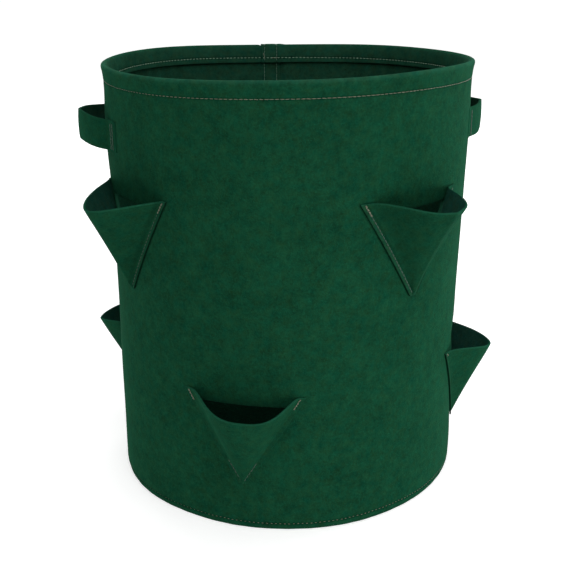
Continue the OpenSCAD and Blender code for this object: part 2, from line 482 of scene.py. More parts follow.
class Shading:
    """Writes the nodes of a material or of a node group."""

    def __init__(self, tree: bpy.types.NodeTree) -> None:
        """Starts from an empty tree."""
        self.tree = tree
        tree.nodes.clear()

    def plug(self, socket: Socket, value: object) -> None:
        """Sets an input, or links another node's output to it.

        Args:
            socket: The input.
            value: A number, a tuple or an output.
        """
        if isinstance(value, bpy.types.NodeSocket):
            self.tree.links.new(value, socket)
        else:
            socket.default_value = value

    def feed(self, node: bpy.types.Node, name: str, value: object) -> None:
        """Sets or links the input of a node that has the name given, in any case."""
        self.plug(next(s for s in node.inputs if s.name.lower() == name.lower() and s.enabled), value)

    def add(self, kind: str, **values: object) -> bpy.types.Node:
        """Adds a node.

        Args:
            kind: Blender's type of node.
            values: Settings of the node by name. A value under any other name goes to the input
                of that name, in which an underscore stands for a space.

        Returns:
            The new node.
        """
        node = self.tree.nodes.new(kind)
        for key, value in values.items():
            if hasattr(node, key):
                setattr(node, key, value)
            else:
                self.feed(node, key.replace("_", " "), value)
        return node

    def chain(self, node: bpy.types.Node, places: Sequence[int], values: Sequence[object]) -> Socket:
        """Plugs values into a node.

        Args:
            node: The node.
            places: The places of the inputs.
            values: A value or another node's output for each of them.

        Returns:
            The node's last output that is in use.
        """
        for place, value in zip(places, values):
            self.plug(node.inputs[place], value)
        return [output for output in node.outputs if output.enabled][-1]

    def maths(self, operation: str, *values: object) -> Socket:
        """Adds a Math node and gives its result."""
        return self.chain(self.add("ShaderNodeMath", operation=operation), range(3), values)

    def vector_maths(self, operation: str, *values: object) -> Socket:
        """Adds a Vector Math node and gives its result, with a number as the factor of a scaling."""
        places = (0, 3) if operation == "SCALE" else (0, 1)
        return self.chain(self.add("ShaderNodeVectorMath", operation=operation), places, values)

    def blend(self, share: object, first: object, second: object) -> Socket:
        """Mixes two colours, with a share from 0 to 1 of the second one."""
        return self.chain(self.add("ShaderNodeMix", data_type="RGBA"), (0, 6, 7), (share, first, second))

    def swayed(self, pattern: Socket, strength: object, base: object) -> Socket:
        """Adds a pattern, which lies round one half, to a base that it makes larger or smaller."""
        return self.maths("MULTIPLY_ADD", self.maths("SUBTRACT", pattern, 0.5), strength, base)

    def mask(self, name: str) -> Socket:
        """Gives one of the masks of the mesh."""
        return self.add("ShaderNodeAttribute", attribute_name=name).outputs["Fac"]

    def place(self) -> Socket:
        """Gives the place on the object."""
        return self.add("ShaderNodeTexCoord").outputs["Object"]

    def noise(self, place: Socket, scale: float, detail: float = 2.0, distortion: float = 0.0) -> Socket:
        """Adds fractal noise and gives its value, which lies round one half."""
        return self.add(
            "ShaderNodeTexNoise", Vector=place, Scale=scale, Detail=detail, Distortion=distortion
        ).outputs[0]

    def seen_rays(self) -> Socket:
        """Tells the rays by which the camera sees something from those that only light it.

        Returns:
            An output that is 1 for the first kind and 0 for the other.
        """
        rays = self.add("ShaderNodeLightPath").outputs
        mirrored = self.maths("MAXIMUM", rays["Is Glossy Ray"], rays["Is Transmission Ray"])
        return self.maths("MAXIMUM", rays["Is Camera Ray"], mirrored)


@dataclass(frozen=True)
class FibreLay:
    """One direction in which the felt's fibres run."""

    stretch: tuple[float, float, float]
    turn: tuple[float, float, float]
    scale: float
    distortion: float = 1.6

    def pattern(self, shading: Shading, place: Socket) -> Socket:
        """Adds noise that is drawn out along the fibres, and gives its value."""
        laid = shading.add("ShaderNodeMapping", Vector=place, Scale=self.stretch, Rotation=self.turn)
        return shading.noise(laid.outputs[0], self.scale, distortion=self.distortion)


@dataclass(frozen=True)
class FeltGrain:
    """What all felt shares: the scales of its patterns, and how strongly each one shows."""

    colours: tuple[str, ...] = ("Colour", "Fibre Colour", "Cut Colour", "Inner Colour", "Worn Colour")
    amounts: tuple[str, ...] = ("Mottle", "Fibres", "Scale")
    cloud_scale: float = 26.0
    mottle_scale: float = 110.0
    dust_scale: float = 150.0
    tuft_scale: float = 330.0
    fleck_scale: float = 620.0
    lays: tuple[FibreLay, FibreLay] = (
        FibreLay((1.0, 1.0, 0.22), (0.5, 0.35, 0.8), 1500.0),
        FibreLay((0.25, 0.3, 1.0), (0.2, 0.6, 2.1), 1300.0),
    )
    cloud_shade: float = 0.5
    mottle_shade: float = 0.9
    tuft_shade: float = 0.7
    dust_warmth: float = 1.6
    dust_coolness: float = -0.4
    strand_range: tuple[float, float] = (0.56, 0.78)
    fray: tuple[float, float] = (0.8, 0.35)
    painted_shade_strength: float = -0.75
    roughness: tuple[float, float] = (0.12, 0.88)
    strand_height: float = 0.6
    tuft_height: float = 0.7
    fleck_height: float = 0.5

    def group(self) -> bpy.types.NodeTree:
        """Builds the group: mottled fibres, cut edges, painted shade where seams press the felt,
        a painted highlight on raised fuzz, and a back of another colour that paints the light inside the bag.

        Returns:
            A group with the outputs Colour, Roughness and Height.
        """
        tree = bpy.data.node_groups.new("felt_surface", "ShaderNodeTree")
        shading = Shading(tree)
        for way, kind, names in (
            ("INPUT", "NodeSocketColor", self.colours),
            ("INPUT", "NodeSocketFloat", self.amounts),
            ("OUTPUT", "NodeSocketColor", ("Colour",)),
            ("OUTPUT", "NodeSocketFloat", ("Roughness", "Height")),
        ):
            for name in names:
                tree.interface.new_socket(name, in_out=way, socket_type=kind)
        given = shading.add("NodeGroupInput").outputs
        at = shading.vector_maths("SCALE", shading.place(), given["Scale"])
        clouds = shading.noise(at, self.cloud_scale)
        mottle = shading.noise(at, self.mottle_scale)
        dust = shading.noise(at, self.dust_scale)
        tufts = shading.noise(at, self.tuft_scale)
        fleck = shading.noise(at, self.fleck_scale)
        tangle = shading.maths("MAXIMUM", *(lay.pattern(shading, at) for lay in self.lays))
        soft = shading.swayed(clouds, self.cloud_shade, 0.0)
        soft = shading.swayed(mottle, self.mottle_shade, soft)
        soft = shading.swayed(tufts, self.tuft_shade, soft)
        shade = shading.maths("MULTIPLY", soft, given["Mottle"])
        light = shading.maths("ADD", shading.swayed(fleck, given["Fibres"], shade), 1.0)
        # The faces that look into the bag or face the wall take another colour, which paints the light and
        # shade there
        plain = shading.blend(shading.mask("inner"), given["Colour"], given["Inner Colour"])
        # Raised fuzz takes a lighter colour, a painted highlight where light catches it
        plain = shading.blend(shading.mask("worn"), plain, given["Worn Colour"])
        # Dust turns the green a little warmer or cooler from place to place
        warm = shading.swayed(dust, self.dust_warmth, light)
        cool = shading.swayed(dust, self.dust_coolness, light)
        tint = shading.add("ShaderNodeCombineXYZ", X=warm, Y=light, Z=cool).outputs[0]
        colour = shading.vector_maths("MULTIPLY", plain, tint)
        low, high = self.strand_range
        strands = shading.add("ShaderNodeMapRange", Value=tangle, From_Min=low, From_Max=high).outputs[0]
        loose = shading.maths("MULTIPLY", strands, given["Fibres"])
        colour = shading.blend(loose, colour, given["Fibre Colour"])
        frayed = shading.maths("MULTIPLY_ADD", fleck, *self.fray)
        frayed = shading.maths("MULTIPLY", shading.mask("cut_edge"), frayed)
        colour = shading.blend(frayed, colour, given["Cut Colour"])
        # Painted shade: the felt is darkened where the pressed mask lies
        painted_shade = shading.maths("MULTIPLY_ADD", shading.mask("pressed"), self.painted_shade_strength, 1.0)
        height = shading.maths("MULTIPLY", tufts, self.tuft_height)
        height = shading.maths("MULTIPLY_ADD", tangle, self.strand_height, height)
        shading.add(
            "NodeGroupOutput",
            Colour=shading.vector_maths("SCALE", colour, painted_shade),
            Roughness=shading.maths("MULTIPLY_ADD", mottle, *self.roughness),
            Height=shading.maths("MULTIPLY_ADD", fleck, self.fleck_height, height),
        )
        return tree


@dataclass(frozen=True)
class FeltFinish:
    """Colour and nap of one kind of felt."""

    name: str
    slot: str
    colour: Colour
    fibre_colour: Colour
    cut_colour: Colour
    # Colour of the faces that look into the bag or face the wall, which paints the light and shade there
    inner_colour: Colour
    # Lighter colour of raised fuzz, which paints a highlight where light catches it
    worn_colour: Colour = (0.016, 0.082, 0.046, 1.0)
    mottle: float = 0.9
    fibres: float = 0.65
    scale: float = 1.0
    gloss: float = 0.01
    sheen: float = 0.05
    sheen_roughness: float = 0.5
    sheen_tint: Colour = (0.1, 0.8, 0.42, 1.0)
    bump: float = 0.4
    bump_depth: float = 0.0006

    def material(self, grain: FeltGrain, surface: bpy.types.NodeTree) -> bpy.types.Material:
        """Makes the material of this felt.

        Args:
            grain: What all felt shares.
            surface: The node group of that grain.

        Returns:
            The material.
        """
        made = bpy.data.materials.new(self.name)
        made.use_nodes = True
        shading = Shading(made.node_tree)
        felt = shading.add("ShaderNodeGroup", node_tree=surface)
        for name in grain.colours + grain.amounts:
            shading.feed(felt, name, getattr(self, name.lower().replace(" ", "_")))
        bump = shading.add(
            "ShaderNodeBump", Height=felt.outputs["Height"], Strength=self.bump, Distance=self.bump_depth
        )
        shader = shading.add(
            "ShaderNodeBsdfPrincipled",
            Base_Color=felt.outputs["Colour"],
            Roughness=felt.outputs["Roughness"],
            Normal=bump.outputs[0],
            Specular_IOR_Level=self.gloss,
            Sheen_Weight=self.sheen,
            Sheen_Roughness=self.sheen_roughness,
            Sheen_Tint=self.sheen_tint,
        )
        shading.add("ShaderNodeOutputMaterial", Surface=shader.outputs[0])
        return made


@dataclass(frozen=True)
class ThreadFinish:
    """Colour and twist of one kind of sewing thread."""

    name: str
    colour: Colour
    shade: Colour
    fuzz_scale: float = 2200.0
    wear_scale: float = 70.0
    furrow_shade: float = 0.45
    wear_shade: float = 0.6
    fuzz_height: float = 0.4
    roughness: tuple[float, float] = (0.2, 0.6)
    sheen: float = 0.15
    bump: float = 0.5
    bump_depth: float = 0.0002

    def material(self) -> bpy.types.Material:
        """Makes the material of the thread, whose plies follow the mask "ply".

        Returns:
            The material.
        """
        made = bpy.data.materials.new(self.name)
        made.use_nodes = True
        shading = Shading(made.node_tree)
        wave = shading.maths("SINE", shading.maths("MULTIPLY", shading.mask("ply"), 2 * math.pi))
        furrow = shading.maths("MULTIPLY_ADD", wave, 0.5, 0.5)
        place = shading.place()
        fuzz = shading.noise(place, self.fuzz_scale)
        wear = shading.maths("MULTIPLY", shading.noise(place, self.wear_scale, detail=1.0), self.wear_shade)
        share = shading.maths("MULTIPLY_ADD", furrow, self.furrow_shade, wear)
        height = shading.maths("MULTIPLY_ADD", fuzz, self.fuzz_height, furrow)
        bump = shading.add("ShaderNodeBump", Height=height, Strength=self.bump, Distance=self.bump_depth)
        shader = shading.add(
            "ShaderNodeBsdfPrincipled",
            Base_Color=shading.blend(share, self.shade, self.colour),
            Roughness=shading.maths("MULTIPLY_ADD", fuzz, *self.roughness),
            Normal=bump.outputs[0],
            Sheen_Weight=self.sheen,
        )
        shading.add("ShaderNodeOutputMaterial", Surface=shader.outputs[0])
        return made


# Each felt's inside colour paints the light and shade on its faces that look into the bag or face the wall
WALL_FELT = FeltFinish(
    "bottle_green_wall", "wall_felt",
    colour=(0.0054, 0.0440, 0.0200, 1.0),
    fibre_colour=(0.008, 0.083, 0.043, 1.0),
    cut_colour=(0.015, 0.080, 0.045, 1.0),
    inner_colour=(0.0112, 0.0510, 0.0290, 1.0),
)
BASE_FELT = FeltFinish(
    "bottle_green_base", "wall_felt",
    colour=(0.0048, 0.0440, 0.0200, 1.0),
    fibre_colour=(0.006, 0.060, 0.031, 1.0),
    cut_colour=(0.006, 0.050, 0.026, 1.0),
    # Painted shade: the inside of the base is drawn nearly black, as the bottom of the deep bag lies in shade
    inner_colour=(0.0020, 0.0125, 0.0070, 1.0),
    sheen=0.02,
)
FLAP_FELT = FeltFinish(
    "bottle_green_flap", "flap_felt",
    colour=(0.0055, 0.0440, 0.0202, 1.0),
    fibre_colour=(0.008, 0.083, 0.043, 1.0),
    cut_colour=(0.0110, 0.078, 0.0430, 1.0),
    inner_colour=(0.0118, 0.0465, 0.0350, 1.0),
    worn_colour=(0.0105, 0.0500, 0.0255, 1.0),
    mottle=0.8,
    scale=1.1,
)
STRAP_FELT = FeltFinish(
    "bottle_green_strap", "strap_felt",
    colour=(0.0044, 0.0410, 0.0190, 1.0),
    fibre_colour=(0.007, 0.080, 0.041, 1.0),
    cut_colour=(0.006, 0.056, 0.028, 1.0),
    inner_colour=(0.0140, 0.0440, 0.0290, 1.0),
    mottle=0.7,
    scale=1.2,
)
TAN_THREAD = ThreadFinish("tan_thread", (0.178, 0.184, 0.122, 1.0), (0.066, 0.070, 0.046, 1.0))
SOILED_THREAD = ThreadFinish("soiled_thread", (0.019, 0.052, 0.032, 1.0), (0.008, 0.037, 0.022, 1.0))
DUSTY_THREAD = ThreadFinish("dusty_thread", (0.060, 0.150, 0.094, 1.0), (0.024, 0.100, 0.058, 1.0))
PALE_THREAD = ThreadFinish("pale_thread", (0.210, 0.380, 0.250, 1.0), (0.085, 0.165, 0.105, 1.0))


class Wardrobe:
    """All materials of the bag, made once."""

    def __init__(self) -> None:
        """Makes the materials."""
        grain = FeltGrain()
        surface = grain.group()
        self.made: dict[str, bpy.types.Material] = {}
        for felt in (WALL_FELT, BASE_FELT, FLAP_FELT, STRAP_FELT):
            self.made[felt.name] = felt.material(grain, surface)
        for thread in (TAN_THREAD, SOILED_THREAD, DUSTY_THREAD, PALE_THREAD):
            self.made[thread.name] = thread.material()

    def dressed(self, form: Form, name: str, finish: FeltFinish | ThreadFinish) -> bpy.types.Object:
        """Makes a piece and gives it one of the materials.

        Args:
            form: The form of the piece.
            name: The name of the piece.
            finish: The felt or thread that it is made of.

        Returns:
            The piece.
        """
        piece = form.to_object(name)
        piece.data.materials.append(self.made[finish.name])
        return piece

    def sewn_on(self, form: Form, name: str, finish: FeltFinish | ThreadFinish) -> bpy.types.Object:
        """Makes and dresses a piece that stays on the bag's body.

        Args:
            form: The form of the piece.
            name: The name of the piece.
            finish: The felt or thread that it is made of.

        Returns:
            The piece.
        """
        piece = self.dressed(form, name, finish)
        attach(piece, "bag")
        return piece


@dataclass(frozen=True)
class Stitching:
    """A row of lock stitches, each a short thread that dips into the felt at both ends."""

    pitch: float = 4.2
    length: float = 3.3
    radius: float = 0.36
    rise: float = 0.2
    sink: float = 0.4
    skew: float = 4.0
    stray: float = 0.12
    arch_power: float = 0.55
    arch_trim: float = 0.02
    end_radius: float = 0.7
    twists: float = 2.6
    steps: int = 6
    sides: int = 6
    seed: int = 7

    def along(self, line: Array, normals: Array) -> Form:
        """Lays stitches along a line.

        Args:
            line: Points on the felt, in order.
            normals: Outward directions of the felt at those points.

        Returns:
            The stitches as one form, with a mask "ply" that winds round the thread.
        """
        chance = np.random.default_rng(self.seed + len(line))
        lengths = np.linalg.norm(np.diff(line, axis=0), axis=1)
        reach = np.concatenate([[0.0], np.cumsum(lengths)])
        count = max(1, int(reach[-1] / self.pitch))
        pitch = reach[-1] / count
        start = (np.arange(count) + (1 - self.length / self.pitch) / 2) * pitch
        start = start + chance.uniform(-self.stray, self.stray, count)
        share = np.linspace(0.0, 1.0, self.steps)
        at = start[:, None] + share[None, :] * self.length * pitch / self.pitch
        centre, up = (
            np.stack([np.interp(at, reach, given[:, k]) for k in range(3)], axis=-1)
            for given in (line, normals)
        )
        up = normalised(up)
        side = normalised(np.cross(up, normalised(np.gradient(centre, axis=1))))
        arch = np.sin(np.pi * np.clip(share, self.arch_trim, 1.0 - self.arch_trim)) ** self.arch_power
        height = -self.sink + (self.sink + self.rise) * arch
        lean = np.radians(chance.normal(0.0, self.skew, count))
        shift = np.tan(lean)[:, None] * (share - 0.5)[None, :] * self.length
        middle = centre + up * height[None, :, None] + side * shift[..., None]
        turn = np.linspace(0.0, 2 * np.pi, self.sides, endpoint=False)
        radius = self.radius * (self.end_radius + (1.0 - self.end_radius) * arch)
        ring = (
            side[:, :, None, :] * np.cos(turn)[None, None, :, None]
            + up[:, :, None, :] * np.sin(turn)[None, None, :, None]
        )
        points = middle[:, :, None, :] + ring * radius[None, :, None, None]
        ply = share[:, None] * self.twists + turn[None, :] / (2 * np.pi)
        return Form(points.reshape(-1, 3), self.faces(count), {"ply": np.tile(ply.ravel(), count)})

    def faces(self, count: int) -> list[Face]:
        """Faces of stitches, each a tube that is closed at both ends.

        Args:
            count: Number of stitches.

        Returns:
            The faces.
        """
        faces: list[Face] = []
        sides, size = self.sides, self.steps * self.sides
        for base in range(0, count * size, size):
            for ring in range(base, base + size - sides, sides):
                for j in range(sides):
                    a, b = ring + j, ring + (j + 1) % sides
                    faces.append((a, b, b + sides, a + sides))
            faces.append(tuple(base + j for j in reversed(range(sides))))
            faces.append(tuple(base + size - sides + j for j in range(sides)))
        return faces


LONG_STITCH = Stitching(length=3.95, radius=0.27, rise=0.12, sink=0.3, skew=2.5)
BEAD_STITCH = Stitching(pitch=4.1, length=2.3, radius=0.31, rise=-0.01, sink=0.5)
INNER_STITCH = Stitching(pitch=4.1, length=2.7, radius=0.42, rise=0.24, sink=0.5)
SEAM_STITCH = Stitching(pitch=3.9, length=3.7, radius=0.34, rise=0.14, sink=0.25, skew=1.5)
POCKET_STITCH = Stitching(pitch=3.9, length=3.3, radius=0.46, rise=0.08, sink=0.35, skew=3.0)
TACK_STITCH = Stitching(pitch=2.8, length=2.6, radius=0.34, rise=0.5, skew=7.0, seed=3)


@dataclass(frozen=True)
class PlantingHole:
    """A half-moon hole in the wall behind a pocket, straight along its top."""

    angle: float
    top: float
    half_width: float = 42.5
    depth: float = 32.0

    @property
    def arc_radius(self) -> float:
        """Radius of the hole's curved lower edge."""
        return (self.half_width ** 2 + self.depth ** 2) / (2 * self.depth)

    @property
    def arc_centre(self) -> float:
        """Height of the middle of the curved edge's circle."""
        return self.top - self.depth + self.arc_radius

    def outside(self, across: Array, z: Array) -> Array:
        """Distance outside the curved edge, below 0 within it."""
        return np.hypot(across, z - self.arc_centre) - self.arc_radius


@dataclass
class Wall:
    """The wall: one sheet rolled into a tube, lapped up the back and folded in as a hem at the rim."""

    form: BagForm
    holes: tuple[PlantingHole, ...]
    lap: float = 20.0
    lap_felt: float = 1.9
    lap_rise: float = 0.8
    lap_tuck: float = 1.1
    tuck_reach: float = 1.2
    lap_gap: float = 0.1
    over_play: float = 0.25
    under_play: float = 0.3
    ease: float = 2.6
    hem_depth: float = 19.0
    hem_play: float = 0.5
    hem_stitch_z: float = 395.0
    base_stitch_z: float = 5.2
    hem_row_waves: tuple[Wave, ...] = (Wave(50.0, -1.1, 24.0), Wave(-165.0, 0.9, 45.0))
    base_row_waves: tuple[Wave, ...] = (Wave(28.0, 1.3, 20.0),)
    dull_side: Wave = Wave(-62.0, 0.22, 34.0)
    hem_groove: Groove = Groove(0.45, 1.1)
    base_groove: Groove = Groove(0.5, 1.2)
    seam_groove: Groove = Groove(0.4, 0.4)
    deepest_groove: float = 0.6
    # Groove depth at which the painted shade in the groove is full
    full_shade_depth: float = 0.9
    # A share of the fold that sets where the inside colour begins and where the painted highlight runs, and
    # the highlight's width
    fold_shading: tuple[float, float] = (0.4, 1.4)
    ground_gap: float = 0.8
    seam_half: float = 7.0
    cut_bulge: float = 0.3
    column_step: float = 1.2
    row_step: float = 4.0
    slope_step: float = 0.04
    seam_marks: tuple[float, ...] = (-3.2, -2.0, -1.2, -0.6, 0.0, 0.6, 1.2, 2.0, 3.2)
    foot_marks: tuple[float, ...] = (0.0, 0.6, 1.3, 10.0, 12.0, 14.5)
    rim_marks: tuple[float, ...] = (-6.0, 5.0, 8.5)
    hem_marks: tuple[float, ...] = (-8.0, -5.5)
    edge_mark: float = 0.6
    edge_gap: float = 0.8
    plain_from: float = 18.0
    fold_rows: int = 11
    lap_columns: int = 24
    hem_row_ends: tuple[float, float] = (1.04, 0.97)
    tie_span: tuple[float, float] = (1.2, 0.1)
    knot_span: tuple[float, float] = (-5.5, 1.0)
    knot_points: int = 20
    knot_turn: float = 1.05
    knot_lean: float = 0.06
    seam_starts: tuple[float, float] = (4.0, 8.0)
    seam_trim: float = 1.5
    seam_points: tuple[int, int] = (500, 460)

    @property
    def half_lap(self) -> float:
        """Half of the lap, as an angle."""
        return self.form.degrees(self.lap / 2, self.form.height / 2)

    @property
    def seam_turn(self) -> float:
        """Angle from the middle of the lap to each of its rows of stitches."""
        return self.form.degrees(self.seam_half, self.form.height / 2)

    @property
    def fold_start(self) -> float:
        """How far up the sheet the fold over the rim begins."""
        return self.form.height - self.form.felt - self.hem_play / 2

    @property
    def fold_length(self) -> float:
        """Length of the sheet in the fold."""
        return math.pi * (self.form.felt + self.hem_play) / 2

    @property
    def fold_end(self) -> float:
        """How far up the sheet the fold over the rim ends."""
        return self.fold_start + self.fold_length

    @property
    def hem_foot(self) -> float:
        """Height of the hem's lower edge."""
        return self.form.height - self.hem_depth

    @property
    def hem_run(self) -> float:
        """Length of the hem that hangs down inside."""
        return self.fold_start - self.hem_foot

    @property
    def sheet_length(self) -> float:
        """Length of the sheet from its lower edge to the hem's edge."""
        return self.fold_end + self.hem_run

    def hem_row(self, angle: Array) -> Array:
        """Height of the hem's row of stitches, which dips at the right front and rises at the back."""
        return waved(self.hem_stitch_z, self.hem_row_waves, angle)

    def base_row(self, angle: Array) -> Array:
        """Height of the base's row of stitches, which rises a little at the right front."""
        return waved(self.base_stitch_z, self.base_row_waves, angle)

    def sunk(self, line: Line, angle: Array) -> Line:
        """A line on the felt, drawn into it on the side where the thread shows least."""
        return line[0] - line[1] * self.dull_side.amount(angle)[:, None], line[1]

    def down_at(self, z: Array) -> Array:
        """Where on the sheet the hem's inner layer passes a height."""
        return self.fold_end + (self.fold_start - z)

    def over_lap(self, angle: Array) -> Array:
        """1 at the end of the sheet that lies outside, 0 away from it."""
        edge = 180.0 - self.half_lap
        return smooth_step(angle, edge - self.ease, edge)

    def under_lap(self, angle: Array, reach: float) -> Array:
        """1 at the end of the sheet that lies inside, which fades over the reach."""
        edge = -180.0 + self.half_lap
        return 1.0 - smooth_step(angle, edge, edge + reach)

    def thickness(self, angle: Array) -> Array:
        """Thickness of the felt, which the seam presses together."""
        pressed = np.maximum(self.over_lap(angle), self.under_lap(angle, self.ease))
        return self.form.felt + (self.lap_felt - self.form.felt) * pressed

    def surface(self, angle: Array, along: Array) -> Array:
        """Points of the sheet's middle surface.

        Args:
            angle: Angles round the bag, past 180 on either side where the ends overlap.
            along: Lengths up the sheet from its lower edge.

        Returns:
            Points in millimetres.
        """
        felt, pressed, play = self.form.felt, self.lap_felt, self.hem_play
        angle, along = np.broadcast_arrays(np.asarray(angle, float), np.asarray(along, float))
        along = np.clip(along, 0.0, self.sheet_length)
        over, under = self.over_lap(angle), self.under_lap(angle, self.ease)
        plain = 1.0 - over - under
        rise_in = felt / 2 * plain + pressed / 2 * over + (1.5 * pressed + self.lap_gap) * under
        fold_over, fold_under = 1.5 * pressed + self.over_play, (pressed + self.under_play) / 2
        fold = (felt + play) / 2 * plain + fold_over * over + fold_under * under
        top = (
            self.form.height
            - (felt + play / 2) * plain
            - (fold_over + pressed / 2 - self.lap_rise) * over
            - (fold_under + pressed / 2) * under
            - self.lap_tuck * self.under_lap(angle, self.tuck_reach)
        )
        up = self.ground_gap + np.clip(along / self.fold_start, 0.0, 1.0) * (top - self.ground_gap)
        turn = np.clip((along - self.fold_start) / self.fold_length, 0.0, 1.0) * np.pi
        down = np.clip((along - self.fold_start - self.fold_length) / self.hem_run, 0.0, 1.0)
        z = up + fold * np.sin(turn) - down * (top - self.hem_foot)
        return self.form.place(angle, z, -(rise_in + fold * (1.0 - np.cos(turn))))

    def grooves(self, angle: Array, along: Array) -> Array:
        """Depth to which the stitches pull the sheet's front down.

        Args:
            angle: Angles round the bag.
            along: Lengths up the sheet.

        Returns:
            The depths in millimetres.
        """
        hem_row = self.hem_row(angle)
        depth = self.hem_groove.amount(along - hem_row)
        depth = depth + self.hem_groove.amount(along - self.down_at(hem_row))
        depth = depth + self.base_groove.amount(along - self.base_row(angle))
        for turn in (-self.seam_turn, self.seam_turn):
            for end in (180.0, -180.0):
                depth = depth + self.seam_groove.amount(angle - (end + turn))
        return np.minimum(depth, self.deepest_groove)

    def front(self, angle: Array, along: Array) -> Line:
        """The sheet's front, which faces out below the rim and in on the hem.

        Args:
            angle: Angles round the bag.
            along: Lengths up the sheet.

        Returns:
            The points and the directions in which it faces.
        """
        normals = normal_of(self.surface, angle, along, self.slope_step)
        half = self.thickness(angle) / 2 - self.grooves(angle, along)
        return self.surface(angle, along) + normals * half[..., None], normals

    def rear(self, angle: Array, along: Array) -> Line:
        """The sheet's back, which faces into the bag below the hem.

        Args:
            angle: Angles round the bag.
            along: Lengths up the sheet.

        Returns:
            The points and the directions in which it faces.
        """
        normals = normal_of(self.surface, angle, along, self.slope_step)
        half = self.thickness(angle) / 2
        return self.surface(angle, along) - normals * half[..., None], -normals

    def columns(self) -> Array:
        """Divides the sheet along its length, finer where its ends overlap.

        Returns:
            The angles.
        """
        inner = 180.0 - self.half_lap - self.ease
        count = int(round(2 * inner / self.column_step))
        fine = np.linspace(inner, 180.0 + self.half_lap, self.lap_columns)
        return np.concatenate([-fine[::-1][:-1], np.linspace(-inner, inner, count), fine[1:]])

    def rows(self) -> Array:
        """Divides the sheet across, finer at the stitches, the fold and the edges.

        Returns:
            The lengths up the sheet.
        """
        seam, rim = np.array(self.seam_marks), np.array(self.rim_marks)
        tops = sorted({hole.top for hole in self.holes})
        marks = [self.plain_from, *tops, self.hem_stitch_z + rim[0]]
        spans = [
            np.linspace(a, b, int(round((b - a) / self.row_step)) + 1)[:-1]
            for a, b in zip(marks, marks[1:])
        ]
        down = self.down_at(self.hem_stitch_z) + np.array([*self.hem_marks, *seam])
        return np.unique(np.concatenate([
            self.foot_marks,
            self.base_stitch_z + seam,
            *spans,
            self.hem_stitch_z + seam,
            self.hem_stitch_z + rim,
            self.fold_start + np.linspace(0.0, self.fold_length, self.fold_rows),
            down[(down < self.sheet_length - self.edge_gap) & (down > self.fold_end)],
            [self.sheet_length - self.edge_mark, self.sheet_length],
        ]).round(4))

    def cut_sheet(self) -> tuple[Array, Array, list[Face]]:
        """Divides the flat sheet and cuts the planting holes out of it.

        Returns:
            The angle of each point, its length up the sheet, and the faces.
        """
        columns, rows = self.columns(), self.rows()
        angle = np.repeat(columns, len(rows))
        along = np.tile(rows, len(columns))
        faces = grid_faces(len(columns), len(rows))
        for hole in self.holes:
            angle, along, gap = self.snapped(hole, angle, along)
            angle, along, faces = self.cut_hole(hole, angle, along, gap, faces)
        used = np.unique(np.concatenate([group.ravel() for group in faces_by_size(faces)]))
        place = np.full(len(angle), -1)
        place[used] = np.arange(len(used))
        return angle[used], along[used], [tuple(int(place[i]) for i in face) for face in faces]

    def snapped(
        self, hole: PlantingHole, angle: Array, along: Array,
        near_edge: float = 0.6, near_corner: float = 0.8,
    ) -> tuple[Array, Array, Array]:
        """Moves points that lie close to a hole's edge onto it.

        Args:
            hole: The hole.
            angle: The angle of each point.
            along: The length up the sheet of each point.
            near_edge: How close to the curved edge is close.
            near_corner: How close to the hole's upper corners is close.

        Returns:
            The angles, the lengths and each point's distance outside the curved edge.
        """
        radius = float(self.form.radius(hole.top))
        turn = turn_between(angle, hole.angle)
        across = np.where(np.abs(turn) < FACING, radius * np.sin(np.radians(turn)), FAR)
        gap = hole.outside(across, along)
        angle, along = angle.copy(), along.copy()
        near = (np.abs(gap) < near_edge) & (along < hole.top - LEVEL)
        spread = hole.arc_radius / (gap[near] + hole.arc_radius)
        across[near] *= spread
        along[near] = hole.arc_centre + (along[near] - hole.arc_centre) * spread
        corner = np.abs(np.abs(across) - hole.half_width) < near_corner
        corner &= np.abs(along - hole.top) < LEVEL
        across[corner] = np.sign(across[corner]) * hole.half_width
        moved = near | corner
        gap[moved] = 0.0
        angle[moved] = hole.angle + np.degrees(np.arcsin(across[moved] / radius))
        return angle, along, gap

    def cut_hole(
        self, hole: PlantingHole, angle: Array, along: Array, gap: Array, faces: list[Face]
    ) -> tuple[Array, Array, list[Face]]:
        """Cuts one hole out of the divided sheet.

        Args:
            hole: The hole.
            angle: The angle of each point.
            along: The length up the sheet of each point.
            gap: Each point's distance outside the hole's curved edge.
            faces: The faces so far.

        Returns:
            The angles, lengths and faces with the hole cut out.
        """
        angles, alongs, new_points = list(angle), list(along), {}
        kept: list[Face] = []
        above: list[Face] = []
        for face in faces:
            gaps = [gap[i] for i in face]
            if max(along[i] for i in face) > hole.top + LEVEL:
                above.append(face)
            elif min(gaps) >= 0:
                kept.append(face)
            elif max(gaps) > 0:
                ring: list[int] = []
                for a, b in zip(face, face[1:] + face[:1]):
                    if gap[a] >= 0:
                        ring.append(a)
                    if gap[a] * gap[b] < 0:
                        key = (min(a, b), max(a, b))
                        if key not in new_points:
                            share = gap[a] / (gap[a] - gap[b])
                            new_points[key] = len(angles)
                            angles.append(angle[a] + (angle[b] - angle[a]) * share)
                            alongs.append(along[a] + (along[b] - along[a]) * share)
                        ring.append(new_points[key])
                if len(ring) > 2:
                    kept.append(tuple(ring))
        for face in above:
            ring = []
            for a, b in zip(face, face[1:] + face[:1]):
                ring.append(a)
                if (min(a, b), max(a, b)) in new_points:
                    ring.append(new_points[min(a, b), max(a, b)])
            kept.append(tuple(ring))
        return np.array(angles), np.array(alongs), kept

